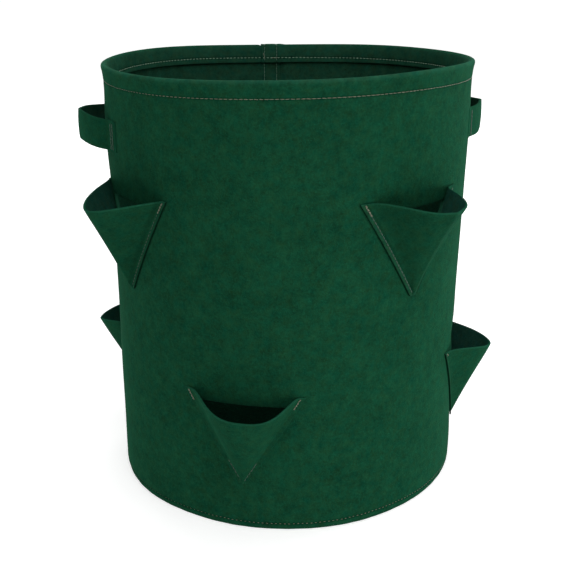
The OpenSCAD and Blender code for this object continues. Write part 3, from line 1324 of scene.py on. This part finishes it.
    def build(self, wardrobe: Wardrobe) -> bpy.types.Object:
        """Builds and dresses the wall.

        Args:
            wardrobe: The materials.

        Returns:
            The wall's object.
        """
        angle, along, faces = self.cut_sheet()
        half = self.thickness(angle) / 2
        grooves = self.grooves(angle, along)
        part, width = self.fold_shading
        sheet = Felt(
            self.surface(angle, along), faces, half - grooves, half,
            # Painted shade in the stitch grooves, darker where they are deeper
            pressed=grooves / self.full_shade_depth,
            # The hem's inner layer takes the inside colour, which paints the light inside the bag
            folded_in=smooth_step(along, self.fold_end - part * self.fold_length, self.fold_end),
            # Painted highlight along the fold over the rim, where its fuzz catches the light
            worn=ridge(along, self.fold_start + part * self.fold_length, width),
            cut_bulge=self.cut_bulge,
        )
        piece = wardrobe.sewn_on(sheet.thick(), "felt_wall", WALL_FELT)
        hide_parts("side_wall")
        return piece

    def thread(self, wardrobe: Wardrobe) -> list[bpy.types.Object]:
        """Sews the hem and the back seam.

        Args:
            wardrobe: The materials.

        Returns:
            The objects of the thread.
        """
        first, last = self.hem_row_ends
        turn = np.linspace(-180.0 + self.half_lap * first, 180.0 + self.half_lap * last, ROUND_POINTS)
        outside = LONG_STITCH.along(*self.sunk(self.front(turn, self.hem_row(turn)), turn))
        inside = INNER_STITCH.along(*self.front(turn, self.down_at(self.hem_row(turn))))
        inner = float(self.down_at(self.hem_row(np.array(180.0))))
        tie = np.linspace(*(180.0 - self.seam_turn * share for share in self.tie_span), TACK_POINTS)
        tied = TACK_STITCH.along(*self.front(tie, np.full_like(tie, inner)))
        rise = np.linspace(*self.knot_span, self.knot_points)
        beside = 180.0 + self.seam_turn * self.knot_turn - self.knot_lean * rise
        knot = TACK_STITCH.along(*self.front(beside, inner + rise))
        start, start_below = (self.base_stitch_z + rise for rise in self.seam_starts)
        points, points_below = self.seam_points
        length = np.linspace(start, self.sheet_length - self.seam_trim, points)
        below = np.linspace(start_below, self.hem_foot - self.seam_trim, points_below)
        rows = []
        for turned in (-self.seam_turn, self.seam_turn):
            rows.append(SEAM_STITCH.along(*self.front(np.full_like(length, 180.0 + turned), length)))
            rows.append(SEAM_STITCH.along(*self.rear(np.full_like(below, -180.0 + turned), below)))
        return [
            wardrobe.sewn_on(outside.joined(tied).joined(knot), "hem_thread", TAN_THREAD),
            wardrobe.sewn_on(inside, "hem_inner_thread", PALE_THREAD),
            wardrobe.sewn_on(reduce(Form.joined, rows), "back_seam_thread", DUSTY_THREAD),
        ]


@dataclass
class Base:
    """The base: a disc of felt whose edge turns up inside the wall."""

    form: BagForm
    turn_height: float = 15.0
    bend_radius: float = 6.0
    clearance: float = 0.3
    rise_slope: float = 0.012
    pleat_depth: float = 0.9
    pleat_middle: float = 0.5
    pleats: tuple[tuple[float, int, float], ...] = ((0.3, 36, 0.0), (0.2, 52, 80.0))
    pleat_from: float = 4.0
    swell_range: tuple[float, float] = (120.0, 164.0)
    row_rise: float = 2.5
    row_out: float = 0.35
    flat_rings: int = 24
    bend_rings: int = 7
    edge_rings: int = 8
    columns: int = 216

    def section(self) -> Array:
        """The disc's middle line, from its centre to its turned-up edge.

        Returns:
            Rows of radius and height.
        """
        felt = self.form.felt
        outer = self.form.foot_radius - felt - self.clearance - felt / 2
        bend = self.bend_radius - felt / 2
        flat = [(r, felt / 2) for r in np.linspace(0.0, outer - bend, self.flat_rings)[1:]]
        turn = np.radians(np.linspace(0.0, 90.0, self.bend_rings))[1:]
        curve = [(outer - bend + bend * math.sin(a), felt / 2 + bend * (1 - math.cos(a))) for a in turn]
        heights = np.linspace(self.bend_radius, self.turn_height, self.edge_rings)[1:]
        rise = [(outer + self.rise_slope * (z - self.bend_radius), z) for z in heights]
        return np.array(flat + curve + rise)

    def build(self, wardrobe: Wardrobe) -> bpy.types.Object:
        """Builds and dresses the base.

        Args:
            wardrobe: The materials.

        Returns:
            The base's object.
        """
        section = self.section()
        rows = len(section)
        angle = np.repeat(np.linspace(-180.0, 180.0, self.columns, endpoint=False), rows)
        r, z = np.tile(section, (self.columns, 1)).T
        swell = self.form.swell(angle, z) * smooth_step(r, *self.swell_range)
        pleat = pleated(angle, self.pleats, self.pleat_middle)
        r = r + swell - self.pleat_depth * smooth_step(z, self.pleat_from, self.turn_height) * pleat
        points = np.concatenate([round_at(r, angle, z), [[0.0, 0.0, self.form.felt / 2]]])
        pole = len(r)
        faces: list[Face] = []
        for i in range(self.columns):
            here, after = i * rows, (i + 1) % self.columns * rows
            faces.append((pole, after, here))
            faces += [(here + j, after + j, after + j + 1, here + j + 1) for j in range(rows - 1)]
        half = np.full(len(points), self.form.felt / 2)
        piece = wardrobe.sewn_on(Felt(points, faces, half, half).thick(), "felt_base", BASE_FELT)
        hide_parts("base_disc")
        return piece

    def thread(self, wall: Wall, wardrobe: Wardrobe) -> bpy.types.Object:
        """Sews the base to the wall.

        Args:
            wall: The wall that the base is sewn to.
            wardrobe: The materials.

        Returns:
            The object of the thread.
        """
        turn = np.linspace(-180.0 + wall.half_lap, 180.0 + wall.half_lap, ROUND_POINTS)
        outside = BEAD_STITCH.along(*wall.sunk(wall.front(turn, wall.base_row(turn)), turn))
        around = np.linspace(-180.0, 180.0, ROUND_POINTS)
        out = -(2 * self.form.felt + self.clearance) - self.row_out
        points = self.form.place(around, self.bend_radius + self.row_rise, out)
        sewn = outside.joined(SEAM_STITCH.along(points, inward(around)))
        return wardrobe.sewn_on(sewn, "base_thread", TAN_THREAD)


@dataclass
class Pocket:
    """A planting pocket: a triangle of felt, sewn on along two sides, with a mouth that bows out."""

    name: str
    form: BagForm
    angle: float
    mouth_z: float
    bow: float
    flatness: float
    sharpness: float
    skew: float
    droop: float
    height: float
    raised: float = 0.0
    lean: float = 0.0
    fill: float = 0.0
    peak: float = 0.0
    peak_width: float = 0.1
    row_sink: float = 0.0
    point_sink: float = 0.0
    # Painted light on the sewn border: shade beside each row and a highlight on the strip outside it
    border_light_and_shade: float = 0.8
    edge_shade: float = 1.0
    # Painted shade over the middle of the flap, which faces down and away from the light above
    painted_flap_shade: float = 0.0
    tacked: tuple[float, ...] = (-1.0, 1.0)
    tack_end: float = 0.885
    felt: float = 1.9
    width: float = 116.0
    point_width: float = 8.0
    clearance: float = 0.3
    pinch: float = 0.2
    press_range: tuple[float, float] = (-2.5, 2.0)
    groove: Groove = Groove(0.35, 1.2)
    edge_fade: tuple[float, float] = (0.2, 1.0)
    inner_shade: Groove = Groove(0.4, 1.0)
    inner_shade_at: float = 2.0
    middle_fade: float = 4.0
    mouth_fade: tuple[float, float] = (0.96, 1.0)
    border_fade: tuple[float, float] = (0.6, 1.6)
    border_end: float = 1.2
    mouth_marks: tuple[float, ...] = (0.993, 1.0)
    even_columns: float = 0.6
    stitch_sink: float = 0.3
    sink_range: tuple[float, float] = (0.26, 0.34)
    tack_start: float = 0.99
    tack_insets: tuple[float, float] = (-0.25, 0.35)
    apex_gap: float = 1.0
    inner_sink: float = 0.1
    margin: float = 4.4
    flat: float = 4.6
    least_half: float = 0.5
    seat: float = 0.06
    softness: float = 0.03
    top: float = 0.985
    slope_step: float = 0.002
    columns: int = 81
    rows: int = 40
    row_points: int = 200

    @property
    def half_turn(self) -> float:
        """Half of the mouth's width, as an angle."""
        return self.form.degrees(self.width / 2, self.mouth_z)

    def mouth_bow(self, across: Array) -> Array:
        """The bow of the flap's mouth.

        Args:
            across: Places across the mouth, from -1 to 1.

        Returns:
            Distances from the wall.
        """
        across = np.clip(across, -1.0, 1.0)
        shifted = np.hypot(across - self.skew * (1.0 - across * across), self.softness)
        round_bow = self.bow * (1.0 - np.clip(shifted, 0.0, 1.0) ** self.flatness) ** self.sharpness
        return round_bow + self.peak * np.exp(-shifted / self.peak_width)

    def edge_distance(self, across: Array, up: Array) -> Array:
        """Distance from the nearer slanted edge, level across the flap."""
        return (1.0 - np.abs(across)) * self.width / 2 * up

    def half_felt(self, across: Array, up: Array) -> Array:
        """Half of the felt's thickness, which the stitches press together along the sewn sides.

        Args:
            across: Places across the flap.
            up: Places up the flap.

        Returns:
            Distances in millimetres.
        """
        low, high = (self.margin + reach for reach in self.press_range)
        edge = self.edge_distance(across, up)
        return self.felt / 2 - self.pinch * (1.0 - smooth_step(edge, low, high))

    def surface(self, across: Array, up: Array) -> Array:
        """Points of the flap's middle surface.

        Args:
            across: Places across the flap, from -1 to 1.
            up: Places up the flap, from 0 at the tip of its triangle to 1 at its mouth.

        Returns:
            Points in millimetres.
        """
        across, up = np.broadcast_arrays(np.asarray(across, float), np.asarray(up, float))
        across, up = np.clip(across, -1.0, 1.0), np.clip(up, 0.0, 1.0)
        # The sewn border lies flat, and only the felt between its rows bows out
        half_width = self.width / 2 * up
        loose_half = np.maximum(half_width - self.flat, self.least_half)
        bow = self.mouth_bow(across * half_width / loose_half)
        dip = self.height - np.sqrt(self.height ** 2 - bow ** 2) + self.droop * (bow / self.bow) ** 2
        z = self.mouth_z - self.height + up * (self.height - dip + self.raised - self.lean * across)
        turn = self.angle + across * up * self.half_turn
        # Near its point the flap lies flat on the wall
        away = np.maximum(up - self.seat, 0.0) / (1.0 - self.seat)
        away = away + 4.0 * self.fill * away * (1.0 - away)
        return self.form.place(turn, z, self.clearance + self.half_felt(across, up) + away * bow)

    def front(self, across: Array, up: Array, sink: Array) -> Line:
        """Points and directions of the flap's front, where stitches have sunk in.

        Args:
            across: Places across the flap.
            up: Places up the flap.
            sink: How deep the stitches lie.

        Returns:
            The points and the outward directions.
        """
        normals = normal_of(self.surface, across, up, self.slope_step)
        half = self.half_felt(across, up) - self.stitch_sink - sink
        return self.surface(across, up) + normals * half[..., None], normals

    def build(self, wardrobe: Wardrobe) -> bpy.types.Object:
        """Builds and dresses the flap.

        Args:
            wardrobe: The materials.

        Returns:
            The flap's object.
        """
        even = np.linspace(-1.0, 1.0, self.columns)
        columns = self.even_columns * even + (1.0 - self.even_columns) * np.sin(np.pi / 2 * even)
        rows = np.linspace(self.point_width / self.width, self.top, self.rows)
        rows = np.concatenate([rows, self.mouth_marks])
        across, up = np.repeat(columns, len(rows)), np.tile(rows, len(columns))
        edge, half = self.edge_distance(across, up), self.half_felt(across, up)
        # Painted shade along the sewn edges and beside the rows
        shade = self.edge_shade * (1.0 - smooth_step(edge, *self.edge_fade))
        beside = self.inner_shade.amount(edge - (self.margin + self.inner_shade_at))
        shade = shade + self.border_light_and_shade * beside
        # Painted shade over the flap's middle, short of its mouth
        middle = smooth_step(edge, self.margin, self.margin + self.middle_fade)
        middle = middle * (1.0 - smooth_step(up, *self.mouth_fade))
        # Painted highlight on the strip between the cut edge and the row
        border = 1.0 - smooth_step(edge, self.margin, self.margin + self.border_end)
        border = smooth_step(edge, *self.border_fade) * border
        flap = Felt(
            self.surface(across, up), grid_faces(len(columns), len(rows)),
            half - self.groove.amount(edge - self.margin), half,
            pressed=shade + self.painted_flap_shade * middle,
            worn=self.border_light_and_shade * border,
        )
        piece = wardrobe.sewn_on(flap.thick(), f"{self.name}_flap", FLAP_FELT)
        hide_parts(self.name)
        return piece

    def thread(self, wardrobe: Wardrobe) -> list[bpy.types.Object]:
        """Sews the two slanted sides of the flap, with a few stitches doubled at the top.

        Args:
            wardrobe: The materials.

        Returns:
            The objects of the rows and of the doubled stitches.
        """
        rows, tacks = [], []
        apex = (self.margin + self.apex_gap) / (self.width / 2)
        for side in (-1.0, 1.0):
            up = np.linspace(self.top, apex, self.row_points)
            across = side * (1.0 - self.margin / (self.width / 2 * up))
            past_point = smooth_step(up, *self.sink_range)
            sink = self.point_sink + (self.row_sink - self.point_sink) * past_point
            rows.append(POCKET_STITCH.along(*self.front(across, up, sink)))
            if side in self.tacked:
                for inset in self.tack_insets:
                    top = np.linspace(self.tack_start, self.tack_end, TACK_POINTS)
                    shifted = side * (1.0 - (self.margin + inset) / (self.width / 2 * top))
                    tacks.append(TACK_STITCH.along(*self.front(shifted, top, 0.0)))
            seam = self.surface(across, up)
            turn = np.degrees(np.arctan2(seam[:, 0], -seam[:, 1]))
            z = self.mouth_z - self.height + up * self.height
            inner = self.form.place(turn, z, -self.form.felt + self.inner_sink)
            rows.append(SEAM_STITCH.along(inner, inward(turn)))
        return [
            wardrobe.sewn_on(reduce(Form.joined, rows), f"{self.name}_thread", SOILED_THREAD),
            wardrobe.sewn_on(reduce(Form.joined, tacks), f"{self.name}_tacks", TAN_THREAD),
        ]


@dataclass
class Strap:
    """A strap handle: one band of felt, sewn flat to the wall at both ends and bowed out between."""

    form: BagForm
    side: Side
    bow: float
    foot_drop: float
    middle_rise: float
    crease: float
    crease_width: float
    width: float = 27.0
    span: float = 136.0
    sewn: float = 12.0
    turn_radius: float = 12.0
    top: float = 364.0
    felt: float = 2.4
    clearance: float = 0.35
    crease_softness: float = 2.0
    crease_rest: float = 0.3
    lift_from: float = 12.0
    cup: float = 0.5
    seat: float = 0.15
    pinch: float = 0.2
    press_range: tuple[float, float] = (-2.0, 4.0)
    rows: int = 21
    turn_steps: int = 6
    middle_slack: float = 1e-6
    stitch_insets: tuple[float, float] = (3.0, 8.0)
    stitch_trim: float = 1.5
    stitch_sink: float = 0.5
    inner_sink: float = 0.1
    row_points: int = 30
    step: float = 1.5
    blend_reach: float = 25.0

    @property
    def angle(self) -> float:
        """Angle of the handle's middle."""
        return 90.0 * self.side.value

    @property
    def node(self) -> str:
        """Name of the handle's solid."""
        return f"{self.side.name.lower()}_handle"

    @property
    def wall_line(self) -> float:
        """Radius of the strap's middle line where it lies on the wall."""
        return float(self.form.radius(self.top)) + self.clearance + self.felt / 2

    @property
    def end_turn(self) -> float:
        """Angle from the handle's middle to the strap's end."""
        return math.degrees(self.span / 2 / self.wall_line)

    @property
    def leave_turn(self) -> float:
        """Angle from the handle's middle to where the strap leaves the wall."""
        return self.end_turn - math.degrees(self.sewn / self.wall_line)

    @property
    def split_side(self) -> float:
        """Distance from the handle's middle to where the strap leaves the wall."""
        return self.wall_line * math.sin(math.radians(self.leave_turn))

    def plan(self) -> Array:
        """The strap's middle line, seen from above.

        Returns:
            Rows of the distance to the side of the handle's middle and the distance from the
            bag's axis, in the order of growing angle.
        """
        leave = math.radians(self.leave_turn)
        centre = self.wall_line + self.turn_radius
        centre_out, centre_side = centre * math.cos(leave), centre * math.sin(leave)
        reach = self.wall_line + self.bow + self.turn_radius
        bow_centre = (reach ** 2 - centre ** 2) / (2 * (reach - centre_out))
        bow_radius = self.wall_line + self.bow - bow_centre
        bow_turn = math.atan2(centre_side, centre_out - bow_centre)
        counts = (
            int(self.sewn / self.step) + 1,
            max(self.turn_steps, int(self.turn_radius * (bow_turn - leave) / self.step) + 1),
            int(bow_radius * bow_turn / self.step) + 1,
        )
        sewn = np.radians(np.linspace(self.end_turn, self.leave_turn, counts[0]))
        turned = np.linspace(leave, bow_turn, counts[1])[1:]
        bowed = np.linspace(bow_turn, 0.0, counts[2])[1:]
        half = np.concatenate([
            self.wall_line * np.stack([np.sin(sewn), np.cos(sewn)], axis=1),
            [centre_side, centre_out] - self.turn_radius * np.stack([np.sin(turned), np.cos(turned)], axis=1),
            [0.0, bow_centre] + bow_radius * np.stack([np.sin(bowed), np.cos(bowed)], axis=1),
        ])
        return np.concatenate([half, half[::-1][1:] * [-1.0, 1.0]])[::-1]

    def band(self, line: Array, rows: Array) -> Array:
        """Points of the strap's middle surface.

        Args:
            line: The strap's plan.
            rows: Heights across the strap, from its lower edge.

        Returns:
            Points of a grid, one column for each row of the plan.
        """
        side, out = line[:, 0], line[:, 1]
        turn = np.degrees(np.arctan2(side, out))
        stand = np.hypot(side, out) - self.wall_line
        fade = np.exp(-np.hypot(side, self.crease_softness) / self.crease_width)
        stand = stand + self.crease * (fade - self.crease_rest)
        away = 1.0 - smooth_step(np.abs(side), self.lift_from, self.split_side)
        shift = -self.foot_drop + (self.foot_drop + self.middle_rise) * away
        height = np.tile(rows, len(line))
        z = self.top - self.width + height + np.repeat(shift, len(rows))
        cup = self.cup * (1.0 - ((height / self.width) * 2 - 1) ** 2) * np.repeat(away, len(rows))
        out_grid = np.repeat(stand, len(rows)) + self.clearance + self.felt / 2 - self.seat + cup
        return self.form.place(self.angle + np.repeat(turn, len(rows)), z, out_grid)

    def build(self, wardrobe: Wardrobe) -> list[bpy.types.Object]:
        """Builds and dresses the strap as a front and a back half, which meet in the middle.

        Args:
            wardrobe: The materials.

        Returns:
            The two halves.
        """
        line, rows = self.plan(), np.linspace(0.0, self.width, self.rows)
        points = self.band(line, rows)
        low, high = (self.split_side + reach for reach in self.press_range)
        sewn = smooth_step(np.abs(line[:, 0]), low, high)
        half = np.repeat(self.felt / 2 - self.pinch * sewn, len(rows))
        x, z = self.side.value * self.wall_line * MM, self.top * MM
        pieces = []
        for end in StrapEnd:
            keep = line[:, 0] * self.side.value * end.value >= -self.middle_slack
            picked = np.repeat(keep, len(rows))
            faces = grid_faces(int(keep.sum()), len(rows))
            part = Felt(points[picked], faces, half[picked], half[picked])
            label = f"{self.node}_{end.name.lower()}"
            piece = wardrobe.dressed(part.thick(), f"{label}_half", STRAP_FELT)
            y = end.value * self.split_side
            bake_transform(piece)
            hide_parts(self.node, f"{label}_tab")
            pieces.append(piece)
        return pieces

    def thread(self, wardrobe: Wardrobe) -> bpy.types.Object:
        """Sews each end of the strap with two upright rows.

        Args:
            wardrobe: The materials.

        Returns:
            The object of the thread.
        """
        up = np.linspace(self.stitch_trim, self.width - self.stitch_trim, self.row_points)
        z = self.top - self.width + up - self.foot_drop
        rows = []
        for end in (-1.0, 1.0):
            for inset in self.stitch_insets:
                turn = end * (self.end_turn - math.degrees(inset / self.wall_line))
                angle = np.full_like(z, self.angle + turn)
                for out, normals in (
                    (self.clearance + self.felt - self.stitch_sink, -inward(angle)),
                    (self.inner_sink - self.form.felt, inward(angle)),
                ):
                    rows.append(SEAM_STITCH.along(self.form.place(angle, z, out), normals))
        return wardrobe.sewn_on(reduce(Form.joined, rows), f"{self.node}_thread", SOILED_THREAD)


@dataclass
class PlanterBag:
    """The whole bag."""

    form: BagForm = field(default_factory=BagForm)
    upper_mouth: float = 303.0
    lower_mouth: float = 131.5
    hole_drop: float = 8.5

    def pockets(self) -> list[Pocket]:
        """Sets out the six pockets, each with its own slackness.

        Returns:
            The pockets, the upper row first.
        """
        upper, lower, form = self.upper_mouth, self.lower_mouth, self.form
        return [
            Pocket(
                "upper_pocket_left", form, -62.6, upper,
                bow=50.5, flatness=1.65, sharpness=1.0, skew=0.39, droop=-7.2, height=98.0, raised=0.3,
                fill=-0.02, width=119.5, point_sink=0.05, row_sink=0.05, painted_flap_shade=0.08,
            ),
            Pocket(
                "upper_pocket_right", form, 34.0, upper,
                bow=43.8, flatness=3.1, sharpness=4.3, skew=-0.02, droop=-5.4, height=94.4, raised=1.7,
                fill=-0.08, peak=3.5, width=119.5, painted_flap_shade=0.2, tacked=(-1.0,),
            ),
            Pocket(
                "upper_pocket_back", form, 130.6, upper,
                bow=38.0, flatness=2.5, sharpness=2.2, skew=0.05, droop=-2.0, height=95.0,
            ),
            Pocket(
                "lower_pocket_left", form, -116.2, lower,
                bow=31.9, flatness=3.6, sharpness=1.58, skew=0.4, droop=-2.6, height=90.8, raised=5.8,
                fill=-0.03, peak=1.1, width=113.5,
            ),
            Pocket(
                "lower_pocket_front", form, -19.9, lower,
                bow=36.6, flatness=2.99, sharpness=1.95, skew=0.18, droop=1.6, height=92.2, raised=1.2,
                width=114.5, row_sink=0.75, point_sink=-0.14, border_light_and_shade=0.15, edge_shade=0.1,
                clearance=0.1, pinch=0.5,
            ),
            Pocket(
                "lower_pocket_right", form, 77.0, lower,
                bow=37.6, flatness=1.95, sharpness=2.12, skew=-0.07, droop=-3.1, height=91.0, raised=2.8,
                lean=1.3, fill=-0.01, width=118.5, point_sink=0.75, row_sink=0.75, border_light_and_shade=0.4,
                tacked=(-1.0,), tack_end=0.955, seat=0.1,
            ),
        ]

    def straps(self) -> list[Strap]:
        """The two handles, each with its own slackness."""
        return [
            Strap(
                self.form, Side.LEFT,
                bow=20.2, foot_drop=1.1, middle_rise=2.1, crease=4.1, crease_width=17.3,
            ),
            Strap(
                self.form, Side.RIGHT,
                bow=12.5, foot_drop=-2.4, middle_rise=3.0, crease=6.4, crease_width=11.2,
            ),
        ]

    def build(self) -> list[bpy.types.Object]:
        """Builds, dresses and sews every piece.

        Returns:
            All pieces of the bag.
        """
        wardrobe = Wardrobe()
        pockets = self.pockets()
        wall = Wall(self.form, tuple(PlantingHole(p.angle, p.mouth_z - self.hole_drop) for p in pockets))
        base = Base(self.form)
        pieces = [wall.build(wardrobe), base.build(wardrobe)]
        pieces += [*wall.thread(wardrobe), base.thread(wall, wardrobe)]
        for pocket in pockets:
            pieces += [pocket.build(wardrobe), *pocket.thread(wardrobe)]
        for strap in self.straps():
            pieces += [*strap.build(wardrobe), strap.thread(wardrobe)]
        return pieces


@dataclass(frozen=True)
class SoftLight:
    """A large soft lamp, placed by its direction from the bag."""

    name: str
    azimuth: float
    elevation: float
    distance: float
    width: float
    height: float
    power: float

    def build(self, target: Vector) -> None:
        """Makes the lamp.

        Args:
            target: The point that it is turned to.
        """
        turn, lift = math.radians(self.azimuth), math.radians(self.elevation)
        away = Vector((math.sin(turn) * math.cos(lift), -math.cos(turn) * math.cos(lift), math.sin(lift)))
        data = bpy.data.lights.new(self.name, "AREA")
        data.shape = "RECTANGLE"
        data.size, data.size_y, data.energy = self.width, self.height, self.power
        lamp = bpy.data.objects.new(self.name, data)
        lamp.location = target + away * self.distance
        lamp.rotation_euler = (-away).to_track_quat("-Z", "Y").to_euler()
        bpy.context.scene.collection.objects.link(lamp)


@dataclass
class Studio:
    """Plain pale surroundings, soft lamps and the camera."""

    camera_turn: float = -6.3
    camera_distance: float = 966.7
    camera_height: float = 499.5
    camera_tilt: float = 18.29
    camera_pan: float = 0.03
    lens: float = 62.02
    sensor_width: float = 36.0
    ambient: float = 0.2
    floor_reach: float = 14.0
    floor_drop: float = 0.0005
    floor_grey: float = 0.8
    floor_bounce: float = 0.25
    floor_glow: tuple[float, float] = (0.53, 0.88)
    floor_glow_reach: tuple[float, float] = (0.5, 3.0)
    light_target: tuple[float, float, float] = (0.0, 0.0, 0.2)
    lights: tuple[SoftLight, ...] = (
        SoftLight("front_light", 0.0, 40.0, 2.4, 2.6, 1.6, 23.5),
        SoftLight("right_light", 112.0, 3.0, 1.6, 0.6, 1.2, 15.0),
        SoftLight("left_light", -104.0, -8.0, 0.7, 0.35, 0.3, 0.85),
        SoftLight("low_right_light", 50.0, -4.0, 1.1, 0.5, 0.2, 3.0),
        SoftLight("low_front_light", -5.0, -12.0, 0.6, 0.5, 0.08, 0.18),
        SoftLight("back_light", 180.0, 34.0, 2.6, 2.6, 1.6, 30.0),
        SoftLight("top_light", 20.0, 75.0, 2.2, 1.6, 1.6, 13.0),
    )

    def build(self) -> None:
        """Makes the floor, the world, the lamps and the camera."""
        self.build_floor()
        self.build_world()
        for light in self.lights:
            light.build(Vector(self.light_target))
        self.build_camera()
        bpy.context.scene.view_settings.view_transform = "Standard"

    def build_floor(self) -> None:
        """Makes the floor, which shows white and keeps the bag's shadow."""
        mesh = bpy.data.meshes.new("studio_floor")
        reach = self.floor_reach
        corners = [(-reach, -reach, 0.0), (reach, -reach, 0.0), (reach, reach, 0.0), (-reach, reach, 0.0)]
        mesh.from_pydata(corners, [], [(0, 1, 2, 3)])
        floor = bpy.data.objects.new("studio_floor", mesh)
        floor.location.z = -self.floor_drop
        bpy.context.scene.collection.objects.link(floor)
        material = bpy.data.materials.new("pale_floor")
        material.use_nodes = True
        shading = Shading(material.node_tree)
        # Far from the lamps the floor gets less light, so it glows more there
        far = shading.add("ShaderNodeVectorMath", operation="LENGTH")
        shading.plug(far.inputs[0], shading.place())
        fade = shading.add(
            "ShaderNodeMapRange",
            interpolation_type="SMOOTHSTEP",
            Value=far.outputs["Value"],
            From_Min=self.floor_glow_reach[0],
            From_Max=self.floor_glow_reach[1],
            To_Min=self.floor_glow[0],
            To_Max=self.floor_glow[1],
        )
        seen = shading.seen_rays()
        shown = shading.maths("MULTIPLY", seen, fade.outputs[0])
        unseen = shading.maths("SUBTRACT", 1.0, seen)
        strength = shading.maths("MULTIPLY_ADD", unseen, self.floor_bounce, shown)
        matt = shading.add("ShaderNodeBsdfDiffuse", Color=(self.floor_grey,) * 3 + (1.0,))
        glow = shading.add("ShaderNodeEmission", Strength=strength)
        both = shading.chain(shading.add("ShaderNodeAddShader"), (0, 1), (matt.outputs[0], glow.outputs[0]))
        shading.add("ShaderNodeOutputMaterial", Surface=both)
        mesh.materials.append(material)

    def build_world(self) -> None:
        """Makes the surroundings: white to the camera and a soft grey light on the bag."""
        world = bpy.data.worlds.new("studio")
        world.use_nodes = True
        shading = Shading(world.node_tree)
        strength = shading.maths("MULTIPLY_ADD", shading.seen_rays(), 1.0 - self.ambient, self.ambient)
        back = shading.add("ShaderNodeBackground", Color=(1.0, 1.0, 1.0, 1.0), Strength=strength)
        shading.add("ShaderNodeOutputWorld", Surface=back.outputs[0])
        bpy.context.scene.world = world

    def build_camera(self) -> None:
        """Makes the camera."""
        turn = math.radians(self.camera_turn)
        data = bpy.data.cameras.new("camera")
        data.lens, data.sensor_width = self.lens, self.sensor_width
        camera = bpy.data.objects.new("camera", data)
        camera.location = (
            self.camera_distance * math.sin(turn) * MM,
            -self.camera_distance * math.cos(turn) * MM,
            self.camera_height * MM,
        )
        pan = math.radians(self.camera_pan)
        camera.rotation_euler = (math.radians(90.0 - self.camera_tilt), 0.0, turn + pan)
        bpy.context.scene.collection.objects.link(camera)
        bpy.context.scene.camera = camera


def main() -> None:
    """Builds the bag and its surroundings in order."""
    logging.basicConfig(level=logging.INFO, format="%(name)s: %(message)s")
    pieces = PlanterBag().build()
    for piece in pieces:
        LOG.info("%s: %d faces", piece.name, len(piece.data.polygons))
    Studio().build()


if __name__ == "__main__":
    main()
